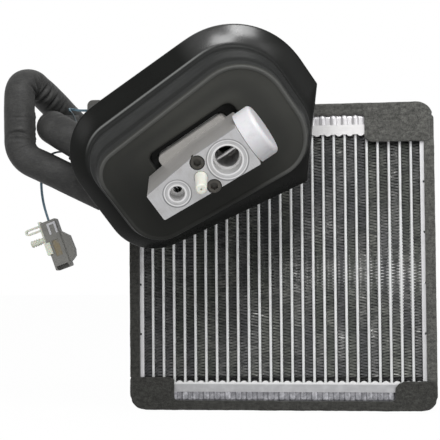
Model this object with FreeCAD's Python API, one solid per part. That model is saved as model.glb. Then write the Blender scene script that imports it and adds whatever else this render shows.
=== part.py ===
import FreeCAD, Part
import math
import os

# Evaporator core of a car air conditioner: an upright tube and fin block with
# two tanks, foam edging, two lagged pipes, an expansion valve block that stands
# out of a moulded rubber dash boot, and a sensor lead with its plug.
#
# Frame in millimetres: Z runs up along the flat tubes, X across them to the
# right, and the finned front looks along -Y. The origin is the middle of the
# underside of the bottom foam, which sits in the heater box.

V = FreeCAD.Vector
UP = V(0, 0, 1)
RIGHT = V(1, 0, 0)
BACK = V(0, 1, 0)

# How far a cutting shape runs past the face that it opens
past = 1.0

# Tanks and the height of the tubes between their header plates
tank_wall = 1.6
tank_half_depth = 19.0
tank_end_margin = 2.4
header_spacing = 190.4
header_rim = 7.4
scallop_height = 1.2
scallop_foot = 0.8
cover_height = 18.6
cover_corner = 6.0
valley_half_width = 4.0
valley_depth = 3.0
rib_radius = 3.2
rib_stand_out = 1.5
braze_gap = 0.05

# Tube and fin block
tube_count = 25
tube_pitch = 8.4
tube_thickness = 2.2
tube_inset = 2.0
tube_depth = 2 * (tank_half_depth - tube_inset)
tube_wall = 0.5
tube_ports = 8
tube_end_in_tank = 1.6
fin_inset = 1.0
fin_depth = tube_depth - 2 * fin_inset
fin_folds = 28
fin_sheet = 0.35
fin_end_gap = 0.6
tank_half_length = (tube_count + 1) / 2 * tube_pitch + tank_end_margin

# Side plates
side_plate_sheet = 1.2
side_plate_flange = 3.0
side_plate_lap = 1.0
side_plate_depth = tube_depth + 2 * side_plate_lap
notch_pitch = 38.6
notch_height = 1.6
notch_depth = 1.2
notch_count = 4

# Foam edging
foam_side_thickness = 7.0
foam_front_thickness = 2.0
foam_under = 2.9
foam_over = 5.6
core_half_width = tank_half_length + foam_side_thickness
header_low = foam_under + cover_height
header_high = header_low + header_spacing
core_height = header_high + cover_height + foam_over
foam_half_depth = tank_half_depth + foam_front_thickness
foam_top_corner = 13.5
foam_bottom_corner = 11.5
strip_recess = 1.6
strip_lip = 2.6
fold_width = 3.3
fold_recess = 1.9
foam_bottom_height = 7.5
foam_top_height = 9.8
foam_fit = 0.05
foam_soft_edge = 1.0
pad_corner = 4.0
pad_round_corner = 9.0
pad_top_right_width = 53.1
pad_top_right_height = 30.6
pad_top_left_width = 30.6
pad_bottom_left_width = 35.6
pad_bottom_left_height = 25.5
pad_bottom_right_width = 32.6
pad_bottom_right_height = 23.0

# Pipe block on the left end of the top tank
port_block_length = 20.0
port_block_side = 1.0
port_block_half_depth = tank_half_depth + port_block_side
port_block_height = 24.0
port_rise = 9.1
port_height = header_high + port_rise
port_left = -tank_half_length - braze_gap - port_block_length
port_half_spacing = 9.5
port_socket_depth = 11.0
suction_passage = 11.0
liquid_passage = 6.0

# Pipes and their foam sleeves. Their corners, like the places of the valve and
# the sensor further down, are measured from the middle of the left face of the
# pipe block.
suction_pipe_outer = 16.0
suction_pipe_bore = 13.4
liquid_pipe_outer = 10.0
liquid_pipe_bore = 7.6
suction_sleeve_outer = 25.6
liquid_sleeve_outer = 23.6
sleeve_fit = 0.1
pipe_fit = 0.05
suction_stub = 38.0
liquid_stub = 22.0
suction_entry = 9.0
liquid_entry = 13.0
suction_bends = (20.0, 22.0, 18.0, 18.0, 16.0)
liquid_bends = (14.0, 17.0, 19.0, 13.0, 12.0, 12.0)
suction_route = (
    (15.65, -60.0, -35.1),
    (-41.95, -60.0, -0.6),
    (-40.95, -22.0, -2.4),
)
liquid_route = (
    (14.75, -58.0, -61.8),
    (-65.25, -55.0, -23.5),
    (-65.35, -55.0, 43.5),
    (-36.45, 20.0, 2.6),
)
suction_sleeve_start = 14.0
suction_sleeve_end = 20.0
liquid_sleeve_start = 14.0
liquid_sleeve_end = 13.0

# Dash frame: the valve block and the boot lean down towards the engine bay
dash_centre = (91.35, -146.1, -49.9)
dash_yaw = 9.0
dash_tilt = 21.5
dash_roll = 34.7

# Expansion valve block, in the dash frame: u along it, v across it, depth back
valve_depth = 44.0
valve_left = -39.6
valve_right = 37.8
valve_left_half = 10.7
valve_right_half = 15.5
valve_taper_start = 3.0
valve_axis_v = 0.6
valve_edge = 1.2
valve_shoulder = 3.0
suction_u = 20.6
liquid_u = -21.3
liquid_rear_u = -9.0
suction_bore = 19.8
suction_bore_depth = 12.0
suction_step = 16.8
suction_spotface = 29.0
liquid_bore = 10.5
liquid_bore_depth = 12.0
liquid_spotface = 19.7
spotface_depth = 0.6
rod_depth = 18.6
rod_diameter = 3.0
rod_fit = 0.3
needle_diameter = 6.0
needle_lift = 2.8
seat_u = -16.0
orifice = 4.0
chamber_diameter = 12.0
outlet_diameter = 6.0
spring_wire = 1.2
spring_outer = 8.0
spring_turns = 5
screw_u = 2.5
screw_half_spacing = 10.2
screw_diameter = 6.0
screw_head = 10.0
screw_head_height = 6.0
screw_head_sink = 6.6
screw_socket = 5.0
screw_socket_depth = 3.0
screw_chamfer = 0.5
screw_short = 2.0
screw_fit = 0.3
plug_u = -1.4
plug_diameter = 9.0
plug_tip_diameter = 7.6
plug_length = 26.0
plug_thread = 8.0
plug_thread_length = 10.0
plug_recess = 9.8
plug_recess_depth = 1.0
plug_tip_round = 1.2
plug_dimple = 1.4
plug_dimple_depth = 1.0

# Adjusting screw and power head
adjuster_length = 6.0
adjuster_socket = 5.0
adjuster_socket_depth = 3.0
adjuster_sink = 0.6
cap_radius = 19.0
cap_length = 13.4
cap_wall = 1.6
cap_end_wall = 2.6
cap_gap = 0.3
cap_edge = 3.0
head_radius = 16.8
head_length = 8.5
head_round = 2.0
head_spigot = 18.0
head_spigot_length = 6.0

# Pipe flange behind the valve
flange_left = -26.5
flange_right = 30.0
flange_low = -13.0
flange_high = 19.6
flange_thickness = 14.0
flange_corner = 4.0
spigot_length = 6.0
suction_spigot = 18.8
suction_spigot_bore = 13.0
liquid_spigot = 9.9
liquid_spigot_bore = 5.4
seal_section = 1.7
seal_groove = 1.4
seal_depth = 3.0

# Rubber dash boot, in the dash frame
boot_wall = 3.0
boot_panel_depth = valve_depth + 1.0
boot_foot_depth = boot_panel_depth + 18.0
boot_edge_depth = boot_foot_depth + 8.0
panel_outline = ((-72.3, 40.6, 21.0), (-71.8, -35.6, 25.0), (58.0, -45.4, 29.0),
                 (75.9, -23.4, 36.0), (76.2, 49.4, 35.0))
foot_outline = ((-77.3, 54.6, 29.0), (-76.4, -38.7, 27.0), (59.7, -48.7, 31.5),
                (80.6, -23.1, 42.0), (80.8, 60.2, 40.0))
edge_outline = ((-89.5, 71.5, 44.0), (-90.5, -44.7, 36.0), (49.0, -65.2, 1.5),
                (95.8, -7.7, 1.5), (96.0, 74.2, 58.0))
slot_left = flange_left - 5.5
slot_right = flange_right + 10.0
slot_low = flange_low - 5.0
slot_high = flange_high + 4.4
slot_corner = 6.0
boot_inner_round = 1.0
slot_collar_depth = 10.0
slot_lip_fit = 0.1
boot_pip_radius = 1.3
boot_pips = ((-89.1, -15.5), (-83.9, 49.5))

# Sensor holder on the suction pipe, its lead and its plug
holder_start = -18.35
holder_length = 8.0
holder_ring = 21.0
tab_left = -21.85
tab_width = 13.5
tab_thickness = 5.0
tab_top = 23.5
tab_corner = 4.5
tab_foot_round = 1.0
lead_width = 2.0
lead_route = (
    (-21.85, -11.6, 15.6),
    (-29.35, -11.6, 15.6),
    (-34.55, -19.0, 16.2),
    (-33.35, -29.0, 14.6),
    (-26.95, -36.2, 8.6),
    (-23.15, -38.9, -1.2),
    (-23.95, -38.9, -11.8),
    (-31.35, -38.0, -19.8),
    (-41.55, -37.0, -19.4),
    (-49.35, -35.4, -23.2),
    (-53.95, -32.4, -31.0),
    (-55.35, -30.3, -41.4),
    (-54.95, -29.5, -52.1),
    (-52.59, -30.0, -63.67),
    (-49.25, -30.0, -73.1),
)
plug_lean = 19.5
housing_length = 39.2
housing_half_width = 6.4
housing_half_depth = 5.0
housing_edge = 0.6
mouth_half_width = 4.9
mouth_half_depth = 3.4
mouth_depth = 12.0
mouth_notch = 3.0
hood_outline = ((6.4, -10.5), (12.1, -16.4), (12.6, -27.9), (11.3, -32.9), (7.3, -35.6))
hood_sink = 2.0
hood_slope = 1.5
hood_half_depth = 3.8
window_half_width = 2.6
window_shift = 0.7
window_top = -16.0
window_bottom = -29.0
window_depth = 0.5
lock_middle = 1.9
lock_half_width = 3.5
lock_top = -2.2
lock_bottom = -11.2
lock_leg = 1.6
lock_thickness = 1.2
lock_stand_out = 0.2
clip_thickness = 1.8
clip_half_depth = 3.0
clip_top = 1.5
clip_bottom = -26.0
loop_reach = 12.3
loop_top = -0.9
loop_bottom = -5.6
loop_bar = 1.3
loop_half_depth = 1.8
loop_nose = 2.0
tree_reach = 10.9
tree_height = -13.0
tree_stem = 4.6
tree_fins = 4
tree_fin_pitch = 2.05
tree_fin_length = 1.1
tree_fin_radius = 2.9
hook_top = -16.5
hook_reach = 2.8
hook_thickness = 1.2


def save(name, shape):
    """Write one named piece of the part."""
    shape.exportStep("parts/" + name + ".step")
    print(name, "solids", len(shape.Solids), "volume", round(shape.Volume, 1))


def box(x0, x1, y0, y1, z0, z1):
    """Block between two corners."""
    return Part.makeBox(x1 - x0, y1 - y0, z1 - z0, V(x0, y0, z0))


def rod(diameter, start, end):
    """Round bar from one point to another."""
    axis = end - start
    return Part.makeCylinder(diameter / 2, axis.Length, start, axis)


def filleted_loop(points, height):
    """Closed flat wire through (x, y, radius) corners at one height."""
    count = len(points)
    starts = []
    ends = []
    mids = []
    for i in range(count):
        here = V(points[i][0], points[i][1], height)
        before = V(points[i - 1][0], points[i - 1][1], height)
        after = V(points[(i + 1) % count][0], points[(i + 1) % count][1], height)
        to_before = (before - here).normalize()
        to_after = (after - here).normalize()
        half = to_before.getAngle(to_after) / 2
        radius = points[i][2]
        reach = radius / math.tan(half)
        inward = (to_before + to_after).normalize()
        starts.append(here + to_before * reach)
        ends.append(here + to_after * reach)
        mids.append(here + inward * (radius / math.sin(half) - radius))
    edges = []
    for i in range(count):
        edges.append(Part.Arc(starts[i], mids[i], ends[i]).toShape())
        edges.append(Part.LineSegment(ends[i], starts[(i + 1) % count]).toShape())
    return Part.Wire(edges)


def plate(points, low, high):
    """Flat piece with a filleted outline between two heights."""
    face = Part.Face(filleted_loop(points, low))
    return face.extrude(V(0, 0, high - low))


def rounded_rectangle(x0, x1, y0, y1, radius):
    """Corner list of a rectangle with equal corners."""
    return ((x0, y0, radius), (x1, y0, radius), (x1, y1, radius), (x0, y1, radius))


def tube_x(index):
    """Middle of a flat tube, counted from the left."""
    return (index - (tube_count - 1) / 2) * tube_pitch


def all_tube_x():
    """Middles of all flat tubes."""
    return [tube_x(i) for i in range(tube_count)]


def mirror_to_bottom(shape):
    """Turn a piece of the top tank into its twin on the bottom tank."""
    middle = (header_low + header_high) / 2
    return shape.mirror(V(0, 0, middle), UP)


def slab_section(x, thickness, depth, low, high):
    """Flat tube section with round edges, as a solid along Z."""
    half_flat = (depth - thickness) / 2
    body = box(x - thickness / 2, x + thickness / 2, -half_flat, half_flat, low, high)
    front = Part.makeCylinder(thickness / 2, high - low, V(x, -half_flat, low), UP)
    rear = Part.makeCylinder(thickness / 2, high - low, V(x, half_flat, low), UP)
    return body.fuse([front, rear]).removeSplitter()


def flat_tube(x):
    """Extruded flat tube with a row of ports."""
    low = header_low - tube_end_in_tank
    high = header_high + tube_end_in_tank
    tube = slab_section(x, tube_thickness, tube_depth, low, high)
    half_port = tube_thickness / 2 - tube_wall
    span = tube_depth - tube_thickness - tube_wall
    pitch = span / tube_ports
    ports = []
    for i in range(tube_ports):
        y0 = -span / 2 + i * pitch + tube_wall / 2
        ports.append(box(x - half_port, x + half_port, y0, y0 + pitch - tube_wall, low, high))
    return tube.cut(ports)


def fin_column(x0, x1):
    """Folded fin sheet between two upright faces."""
    low = header_low + scallop_height + fin_end_gap
    high = header_high - scallop_height - fin_end_gap
    rise = (high - low) / (2 * fin_folds)
    width = fin_sheet * math.hypot(rise, x1 - x0) / rise
    left = []
    right = []
    for i in range(2 * fin_folds + 1):
        x = x0 if i % 2 == 0 else x1 - width
        left.append(V(x, -fin_depth / 2, low + i * rise))
        right.append(V(x + width, -fin_depth / 2, low + i * rise))
    right.reverse()
    outline = left + right + [left[0]]
    return Part.Face(Part.makePolygon(outline)).extrude(BACK * fin_depth)


def fins():
    """All fin columns, one solid each."""
    faces = []
    edge = side_plate_inner()
    xs = all_tube_x()
    lefts = [-edge] + [x + tube_thickness / 2 for x in xs]
    rights = [x - tube_thickness / 2 for x in xs] + [edge]
    for x0, x1 in zip(lefts, rights):
        faces.append(fin_column(x0, x1))
    return Part.makeCompound(faces)


def side_plate_inner():
    """Distance from the middle to the fin side of a side plate."""
    return tube_x(tube_count - 1) + tube_pitch - side_plate_flange / 2


def side_plate(side):
    """Channel that closes one side of the fins, open outwards."""
    inner = side_plate_inner()
    half = side_plate_depth / 2
    low = header_low + scallop_height
    high = header_high - scallop_height
    channel = box(inner, inner + side_plate_flange, -half, half, low, high)
    hollow = box(inner + side_plate_sheet, inner + side_plate_flange + past,
                 -half + side_plate_sheet, half - side_plate_sheet, low - past, high + past)
    notches = []
    middle = (header_low + header_high) / 2
    for i in range(notch_count):
        z = middle + (i - (notch_count - 1) / 2) * notch_pitch
        notches.append(box(inner + side_plate_flange - notch_depth, inner + side_plate_flange + past,
                           -half - past, half + past, z - notch_height / 2, z + notch_height / 2))
    plate_solid = channel.cut([hollow] + notches)
    if side < 0:
        return plate_solid.mirror(V(0, 0, 0), RIGHT)
    return plate_solid


def header_plate():
    """Top header: a tray with tube slots and a scalloped underside."""
    z0 = header_high
    xs = all_tube_x()
    foot = tube_thickness / 2 + scallop_foot
    points = [V(-tank_half_length, -tank_half_depth, z0)]
    edges = []
    stops = [-tube_x(tube_count - 1) - tube_pitch] + xs + [tube_x(tube_count - 1) + tube_pitch]
    last = points[0]
    for left, right in zip(stops[:-1], stops[1:]):
        start = V(left + foot, -tank_half_depth, z0)
        end = V(right - foot, -tank_half_depth, z0)
        low = V((left + right) / 2, -tank_half_depth, z0 - scallop_height)
        edges.append(Part.LineSegment(last, start).toShape())
        edges.append(Part.Arc(start, low, end).toShape())
        last = end
    corners = [V(tank_half_length, -tank_half_depth, z0),
               V(tank_half_length, -tank_half_depth, z0 + header_rim),
               V(-tank_half_length, -tank_half_depth, z0 + header_rim), points[0]]
    for corner in corners:
        edges.append(Part.LineSegment(last, corner).toShape())
        last = corner
    tray = Part.Face(Part.Wire(edges)).extrude(BACK * 2 * tank_half_depth)
    inside = tank_half_depth - tank_wall
    tray = tray.cut(box(-tank_half_length - past, tank_half_length + past, -inside, inside,
                        z0 + tank_wall, z0 + header_rim + past))
    slots = []
    for x in xs:
        slots.append(slab_section(x, tube_thickness + 2 * braze_gap, tube_depth + 2 * braze_gap,
                                  z0 - scallop_height - past, z0 + tank_wall + past))
    return tray.cut(slots)


def cover_section(inset, base, x):
    """Outline of the tank cover across the tank, with its two domes."""
    half = tank_half_depth - tank_wall - braze_gap - inset
    crown = header_high + cover_height - inset
    radius = cover_corner - inset
    valley = valley_half_width + inset / 2
    bend = radius * (1 - math.sqrt(0.5))
    p = [V(x, -half, base), V(x, -half, crown - radius), V(x, -half + bend, crown - bend),
         V(x, -half + radius, crown), V(x, -valley, crown), V(x, 0, crown - valley_depth),
         V(x, valley, crown), V(x, half - radius, crown), V(x, half - bend, crown - bend),
         V(x, half, crown - radius), V(x, half, base)]
    edges = [Part.LineSegment(p[0], p[1]).toShape(), Part.Arc(p[1], p[2], p[3]).toShape(),
             Part.LineSegment(p[3], p[4]).toShape(), Part.Arc(p[4], p[5], p[6]).toShape(),
             Part.LineSegment(p[6], p[7]).toShape(), Part.Arc(p[7], p[8], p[9]).toShape(),
             Part.LineSegment(p[9], p[10]).toShape(), Part.LineSegment(p[10], p[0]).toShape()]
    return Part.Face(Part.Wire(edges))


def cover_bar(inset, base, x0, x1):
    """Solid bar of the cover's section between two places along the tank."""
    return cover_section(inset, base, x0).extrude(RIGHT * (x1 - x0))


def tank_envelope(grow):
    """Outside of a whole top tank, for the foam that is cut to it."""
    base = header_high - scallop_height
    half = tank_half_depth + grow
    rim = box(-tank_half_length - grow, tank_half_length + grow, -half, half,
              base, header_high + header_rim + grow)
    dome = cover_bar(-grow, base, -tank_half_length - grow, tank_half_length + grow)
    return rim.fuse([dome] + cover_ribs(grow))


def cover_ribs(grow):
    """Upright ribs on both faces of the cover, one at each flat tube."""
    face = tank_half_depth - tank_wall - braze_gap
    axis = face + rib_stand_out - rib_radius
    low = header_high + header_rim
    high = header_high + cover_height - cover_corner
    ribs = []
    for x in all_tube_x():
        for side in (-1, 1):
            foot = V(x, side * axis, low)
            ribs.append(Part.makeCylinder(rib_radius + grow, high - low, foot, UP))
            ribs.append(Part.makeSphere(rib_radius + grow, V(x, side * axis, high)))
    return ribs


def tank_cover():
    """Top tank cover: a two-domed pressing with ribs."""
    base = header_high + tank_wall + braze_gap
    outer = cover_bar(0, base, -tank_half_length, tank_half_length).fuse(cover_ribs(0))
    inner = cover_bar(tank_wall, base - past, -tank_half_length - past, tank_half_length + past)
    return outer.cut(inner)


def end_cap():
    """Plate that closes the right end of a top tank."""
    base = header_high + tank_wall + braze_gap
    return cover_bar(tank_wall + braze_gap, base, tank_half_length - tank_wall, tank_half_length)


def port_block_envelope(grow):
    """Outside of the pipe block on the left end of the top tank."""
    right = -tank_half_length - braze_gap
    low = port_height - port_block_height / 2
    return box(right - port_block_length - grow, right + grow,
               -port_block_half_depth - grow, port_block_half_depth + grow,
               low - grow, low + port_block_height + grow)


def port_block():
    """Pipe block with two sockets and a shoulder that closes the tank."""
    left = port_left
    base = header_high + tank_wall + braze_gap
    inside = -tank_half_length + tank_wall
    shoulder = cover_bar(tank_wall + braze_gap, base, -tank_half_length - braze_gap, inside)
    block = port_block_envelope(0).fuse(shoulder)
    holes = []
    rows = ((-port_half_spacing, suction_pipe_outer, suction_passage),
            (port_half_spacing, liquid_pipe_outer, liquid_passage))
    for y, socket, passage in rows:
        holes.append(rod(socket + 2 * pipe_fit, V(left - past, y, port_height),
                         V(left + port_socket_depth, y, port_height)))
        holes.append(rod(passage, V(left, y, port_height), V(inside + past, y, port_height)))
    return block.cut(holes)


def front_outline(x0, x1, z0, z1, radii, y):
    """Upright face in the XZ plane with four corner radii, from the lower left."""
    corners = ((x0, z0, radii[0]), (x1, z0, radii[1]), (x1, z1, radii[2]), (x0, z1, radii[3]))
    flat = Part.Face(filleted_loop(corners, 0))
    turned = flat.copy()
    turned.rotate(V(0, 0, 0), RIGHT, 90)
    turned.translate(V(0, y, 0))
    return turned


def foam_block(x0, x1, z0, z1, radii, y0, y1):
    """Foam piece with its outline seen from the front."""
    return front_outline(x0, x1, z0, z1, radii, y0).extrude(BACK * (y1 - y0))


def core_outline():
    """Block with the rounded outline of the whole foam edging."""
    return foam_block(-core_half_width, core_half_width, 0, core_height,
                      (foam_bottom_corner, foam_bottom_corner, foam_top_corner, foam_top_corner),
                      -foam_half_depth - past, foam_half_depth + past)


def foam_top():
    """Foam on the top tank, with its two flaps folded over the front corners."""
    soft = foam_soft_edge
    low = core_height - foam_top_height
    strip = foam_block(-core_half_width, core_half_width, low, core_height,
                       (soft, soft, soft, soft), -foam_half_depth, foam_half_depth)
    face = -tank_half_depth - foam_fit
    right = foam_block(core_half_width - pad_top_right_width, core_half_width,
                       core_height - pad_top_right_height, core_height,
                       (pad_corner, soft, soft, soft), -foam_half_depth, face)
    left = foam_block(-core_half_width, -core_half_width + pad_top_left_width,
                      core_height - pad_top_right_height, core_height,
                      (soft, pad_corner, soft, soft), -foam_half_depth, face)
    foam = strip.fuse([right, left]).common(core_outline())
    shallow = box(-core_half_width + pad_top_left_width, core_half_width - pad_top_right_width,
                  -foam_half_depth - past, -foam_half_depth + strip_recess,
                  low - past, core_height - strip_lip)
    return foam.cut([tank_envelope(foam_fit), port_block_envelope(foam_fit), shallow, fold_room()])


def fold_room():
    """Step beside the right flap, where the foam is folded round the corner."""
    return box(core_half_width - fold_width, core_half_width + past,
               -foam_half_depth - past, -foam_half_depth + fold_recess,
               core_height - pad_top_right_height, core_height - strip_lip)


def foam_bottom():
    """Foam under the bottom tank, with its two flaps over the front corners."""
    soft = foam_soft_edge
    strip = foam_block(-core_half_width, core_half_width, 0, foam_bottom_height,
                       (soft, soft, soft, soft), -foam_half_depth, foam_half_depth)
    face = -tank_half_depth - foam_fit
    left = foam_block(-core_half_width, -core_half_width + pad_bottom_left_width,
                      0, pad_bottom_left_height, (soft, soft, pad_corner, soft),
                      -foam_half_depth, face)
    right = foam_block(core_half_width - pad_bottom_right_width, core_half_width,
                       0, pad_bottom_right_height, (soft, soft, soft, pad_round_corner),
                       -foam_half_depth, face)
    foam = strip.fuse([left, right]).common(core_outline())
    return foam.cut(mirror_to_bottom(tank_envelope(foam_fit)))


def foam_side(side, neighbours):
    """Foam strip down one side of the core."""
    inner = side_plate_inner() + side_plate_flange
    high = core_height - foam_top_height
    if side < 0:
        high = port_height - port_block_height / 2 - foam_fit
    strip = box(inner, core_half_width, -foam_half_depth, foam_half_depth,
                foam_bottom_height, high)
    if side < 0:
        strip = strip.mirror(V(0, 0, 0), RIGHT)
    cutters = [tank_envelope(foam_fit), mirror_to_bottom(tank_envelope(foam_fit)), fold_room()]
    return strip.common(core_outline()).cut(cutters + neighbours)


def at_port(x, y, z):
    """Point measured from the middle of the left face of the pipe block."""
    return V(port_left + x, y, port_height + z)


def dash_placement():
    """Placement of the dash frame: u, v and outward normal to X, Y and Z."""
    turn = FreeCAD.Rotation(UP, dash_yaw)
    turn = turn.multiply(FreeCAD.Rotation(RIGHT, 90 + dash_tilt))
    turn = turn.multiply(FreeCAD.Rotation(UP, dash_roll))
    return FreeCAD.Placement(at_port(*dash_centre), turn)


def on_dash(shape):
    """Move a piece from the dash frame to the frame of the part."""
    moved = shape.copy()
    moved.transformShape(dash_placement().toMatrix(), True)
    return moved


def dash_point(u, v, depth):
    """Point of the dash frame, in the frame of the part."""
    return dash_placement().multVec(V(u, v, -depth))


def route_wire(points, radii):
    """Straight runs joined by tangent arcs through a list of points."""
    edges = []
    last = points[0]
    for i in range(1, len(points) - 1):
        to_before = (points[i - 1] - points[i]).normalize()
        to_after = (points[i + 1] - points[i]).normalize()
        half = to_before.getAngle(to_after) / 2
        radius = radii[i - 1]
        reach = radius / math.tan(half)
        inward = (to_before + to_after).normalize()
        start = points[i] + to_before * reach
        end = points[i] + to_after * reach
        mid = points[i] + inward * (radius / math.sin(half) - radius)
        edges.append(Part.LineSegment(last, start).toShape())
        edges.append(Part.Arc(start, mid, end).toShape())
        last = end
    edges.append(Part.LineSegment(last, points[-1]).toShape())
    return Part.Wire(edges)


def swept(path, diameter):
    """Round bar along a path."""
    first = path.Edges[0]
    heading = first.tangentAt(first.FirstParameter)
    ring = Part.Wire(Part.Circle(first.valueAt(first.FirstParameter), heading, diameter / 2).toShape())
    return path.makePipeShell([ring], True, True)


def suction_points():
    """Corners of the suction pipe from the flange to the pipe block."""
    start = dash_point(suction_u, valve_axis_v, valve_depth + flange_thickness / 2)
    turn = dash_point(suction_u, valve_axis_v, valve_depth + flange_thickness + suction_stub)
    end = at_port(port_socket_depth - pipe_fit, -port_half_spacing, 0)
    entry = at_port(-suction_entry, -port_half_spacing, 0)
    return [start, turn] + [at_port(*p) for p in suction_route] + [entry, end]


def liquid_points():
    """Corners of the liquid pipe from the flange to the pipe block."""
    start = dash_point(liquid_rear_u, valve_axis_v, valve_depth + flange_thickness / 2)
    turn = dash_point(liquid_rear_u, valve_axis_v, valve_depth + flange_thickness + liquid_stub)
    end = at_port(port_socket_depth - pipe_fit, port_half_spacing, 0)
    entry = at_port(-liquid_entry, port_half_spacing, 0)
    return [start, turn] + [at_port(*p) for p in liquid_route] + [entry, end]


def pipe(points, radii, outer, bore):
    """Hollow pipe along a route."""
    path = route_wire(points, radii)
    return swept(path, outer).cut(swept(path, bore))


def sleeve(points, radii, start_at, end_at, outer, pipe_outer):
    """Foam sleeve over the visible stretch of a pipe."""
    first = points[2] + (points[3] - points[2]).normalize() * start_at
    last = points[-2] + (points[-3] - points[-2]).normalize() * end_at
    corners = [first] + points[3:-2] + [last]
    path = route_wire(corners, radii[2:-1])
    return swept(path, outer).cut(swept(path, pipe_outer + 2 * sleeve_fit))


def valve_outline():
    """Corners of the valve block seen on its front face."""
    mid = valve_axis_v
    return ((valve_left, mid - valve_left_half, valve_edge),
            (valve_right, mid - valve_right_half, valve_edge),
            (valve_right, mid + valve_right_half, valve_edge),
            (valve_taper_start, mid + valve_right_half, valve_shoulder),
            (valve_left, mid + valve_left_half, valve_edge))


def valve_body():
    """Machined block of the expansion valve, in the dash frame."""
    mid = valve_axis_v
    block = plate(valve_outline(), -valve_depth, 0)
    centre_line = -rod_depth
    holes = [
        rod(suction_spotface, V(suction_u, mid, -spotface_depth), V(suction_u, mid, past)),
        rod(suction_bore, V(suction_u, mid, -suction_bore_depth), V(suction_u, mid, past)),
        rod(suction_step, V(suction_u, mid, -valve_depth - past), V(suction_u, mid, 0)),
        rod(suction_spigot + 2 * screw_fit, V(suction_u, mid, -valve_depth - past),
            V(suction_u, mid, -valve_depth + spigot_length + screw_fit)),
        rod(liquid_spotface, V(liquid_u, mid, -spotface_depth), V(liquid_u, mid, past)),
        rod(liquid_bore, V(liquid_u, mid, -liquid_bore_depth), V(liquid_u, mid, past)),
        rod(outlet_diameter, V(liquid_u, mid, centre_line), V(liquid_u, mid, 0)),
        rod(liquid_spigot + 2 * screw_fit, V(liquid_rear_u, mid, -valve_depth - past),
            V(liquid_rear_u, mid, -valve_depth + spigot_length + screw_fit)),
        rod(outlet_diameter, V(liquid_rear_u, mid, -valve_depth), V(liquid_rear_u, mid, centre_line)),
        rod(chamber_diameter, V(valve_left - past, mid, centre_line), V(seat_u, mid, centre_line)),
        rod(orifice, V(seat_u - past, mid, centre_line), V(liquid_rear_u, mid, centre_line)),
        rod(rod_diameter + 2 * rod_fit, V(liquid_rear_u, mid, centre_line),
            V(valve_right, mid, centre_line)),
        rod(head_spigot + 2 * screw_fit, V(valve_right - head_spigot_length - screw_fit, mid, centre_line),
            V(valve_right + past, mid, centre_line)),
        rod(plug_thread, V(plug_u, mid, -plug_thread_length - past), V(plug_u, mid, past)),
        rod(plug_recess, V(plug_u, mid, -plug_recess_depth), V(plug_u, mid, past)),
    ]
    for side in (-1, 1):
        v = mid + side * screw_half_spacing
        holes.append(rod(screw_diameter + 2 * screw_fit, V(screw_u, v, -valve_depth - past), V(screw_u, v, past)))
        holes.append(rod(screw_head + 2 * screw_fit, V(screw_u, v, -screw_head_sink), V(screw_u, v, past)))
    return on_dash(block.cut(holes))


def hexagon(across, centre, axis, length):
    """Hexagonal bar along an axis."""
    radius = across / math.sqrt(3)
    corners = []
    for i in range(7):
        angle = math.radians(60 * i)
        corners.append(V(radius * math.cos(angle), radius * math.sin(angle), 0))
    bar = Part.Face(Part.makePolygon(corners)).extrude(UP * length)
    turn = FreeCAD.Placement(centre, FreeCAD.Rotation(UP, axis))
    bar.transformShape(turn.toMatrix(), True)
    return bar


def valve_screws():
    """The two socket-head screws that hold the valve to the pipe flange."""
    screws = []
    top = -screw_head_sink + screw_head_height
    for side in (-1, 1):
        v = valve_axis_v + side * screw_half_spacing
        head = rod(screw_head, V(screw_u, v, -screw_head_sink), V(screw_u, v, top))
        edge = [e for e in head.Edges if abs(e.CenterOfMass.z - top) < 0.01]
        head = head.makeChamfer(screw_chamfer, edge)
        shank_end = -valve_depth - flange_thickness + screw_short
        shank = rod(screw_diameter, V(screw_u, v, shank_end), V(screw_u, v, -screw_head_sink))
        socket = hexagon(screw_socket, V(screw_u, v, top - screw_socket_depth), UP,
                         screw_socket_depth + past)
        screws.append(head.fuse(shank).cut(socket))
    return on_dash(Part.makeCompound(screws))


def thread_plug():
    """Plastic plug that stands out of the threaded hole between the ports."""
    mid = valve_axis_v
    foot = V(plug_u, mid, -plug_recess_depth)
    thread = rod(plug_thread - 2 * screw_fit, V(plug_u, mid, -plug_thread_length), foot)
    body = Part.makeCone(plug_diameter / 2, plug_tip_diameter / 2, plug_length + plug_recess_depth, foot)
    tip = [e for e in body.Edges if abs(e.CenterOfMass.z - plug_length) < 0.01]
    body = body.makeFillet(plug_tip_round, tip)
    dimple = rod(plug_dimple, V(plug_u, mid, plug_length - plug_dimple_depth),
                 V(plug_u, mid, plug_length + past))
    return on_dash(body.fuse(thread).cut(dimple))


def push_rod():
    """Rod from the power head to the needle that opens the orifice."""
    mid = valve_axis_v
    start = V(seat_u - needle_lift, mid, -rod_depth)
    end = V(valve_right - head_spigot_length - 2 * screw_fit, mid, -rod_depth)
    stem = rod(rod_diameter, start, end)
    needle = Part.makeSphere(needle_diameter / 2, V(seat_u - needle_lift, mid, -rod_depth))
    return on_dash(stem.fuse(needle))


def adjuster_face():
    """Place of the inner face of the adjusting screw along the valve."""
    return valve_left + adjuster_sink + adjuster_length


def adjusting_screw():
    """Threaded plug that closes the valve chamber and sets the spring."""
    mid = valve_axis_v
    start = V(valve_left + adjuster_sink, mid, -rod_depth)
    body = rod(chamber_diameter - 2 * pipe_fit, start, V(adjuster_face(), mid, -rod_depth))
    socket = hexagon(adjuster_socket, start - RIGHT * past, RIGHT, adjuster_socket_depth + past)
    return on_dash(body.cut(socket))


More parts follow.
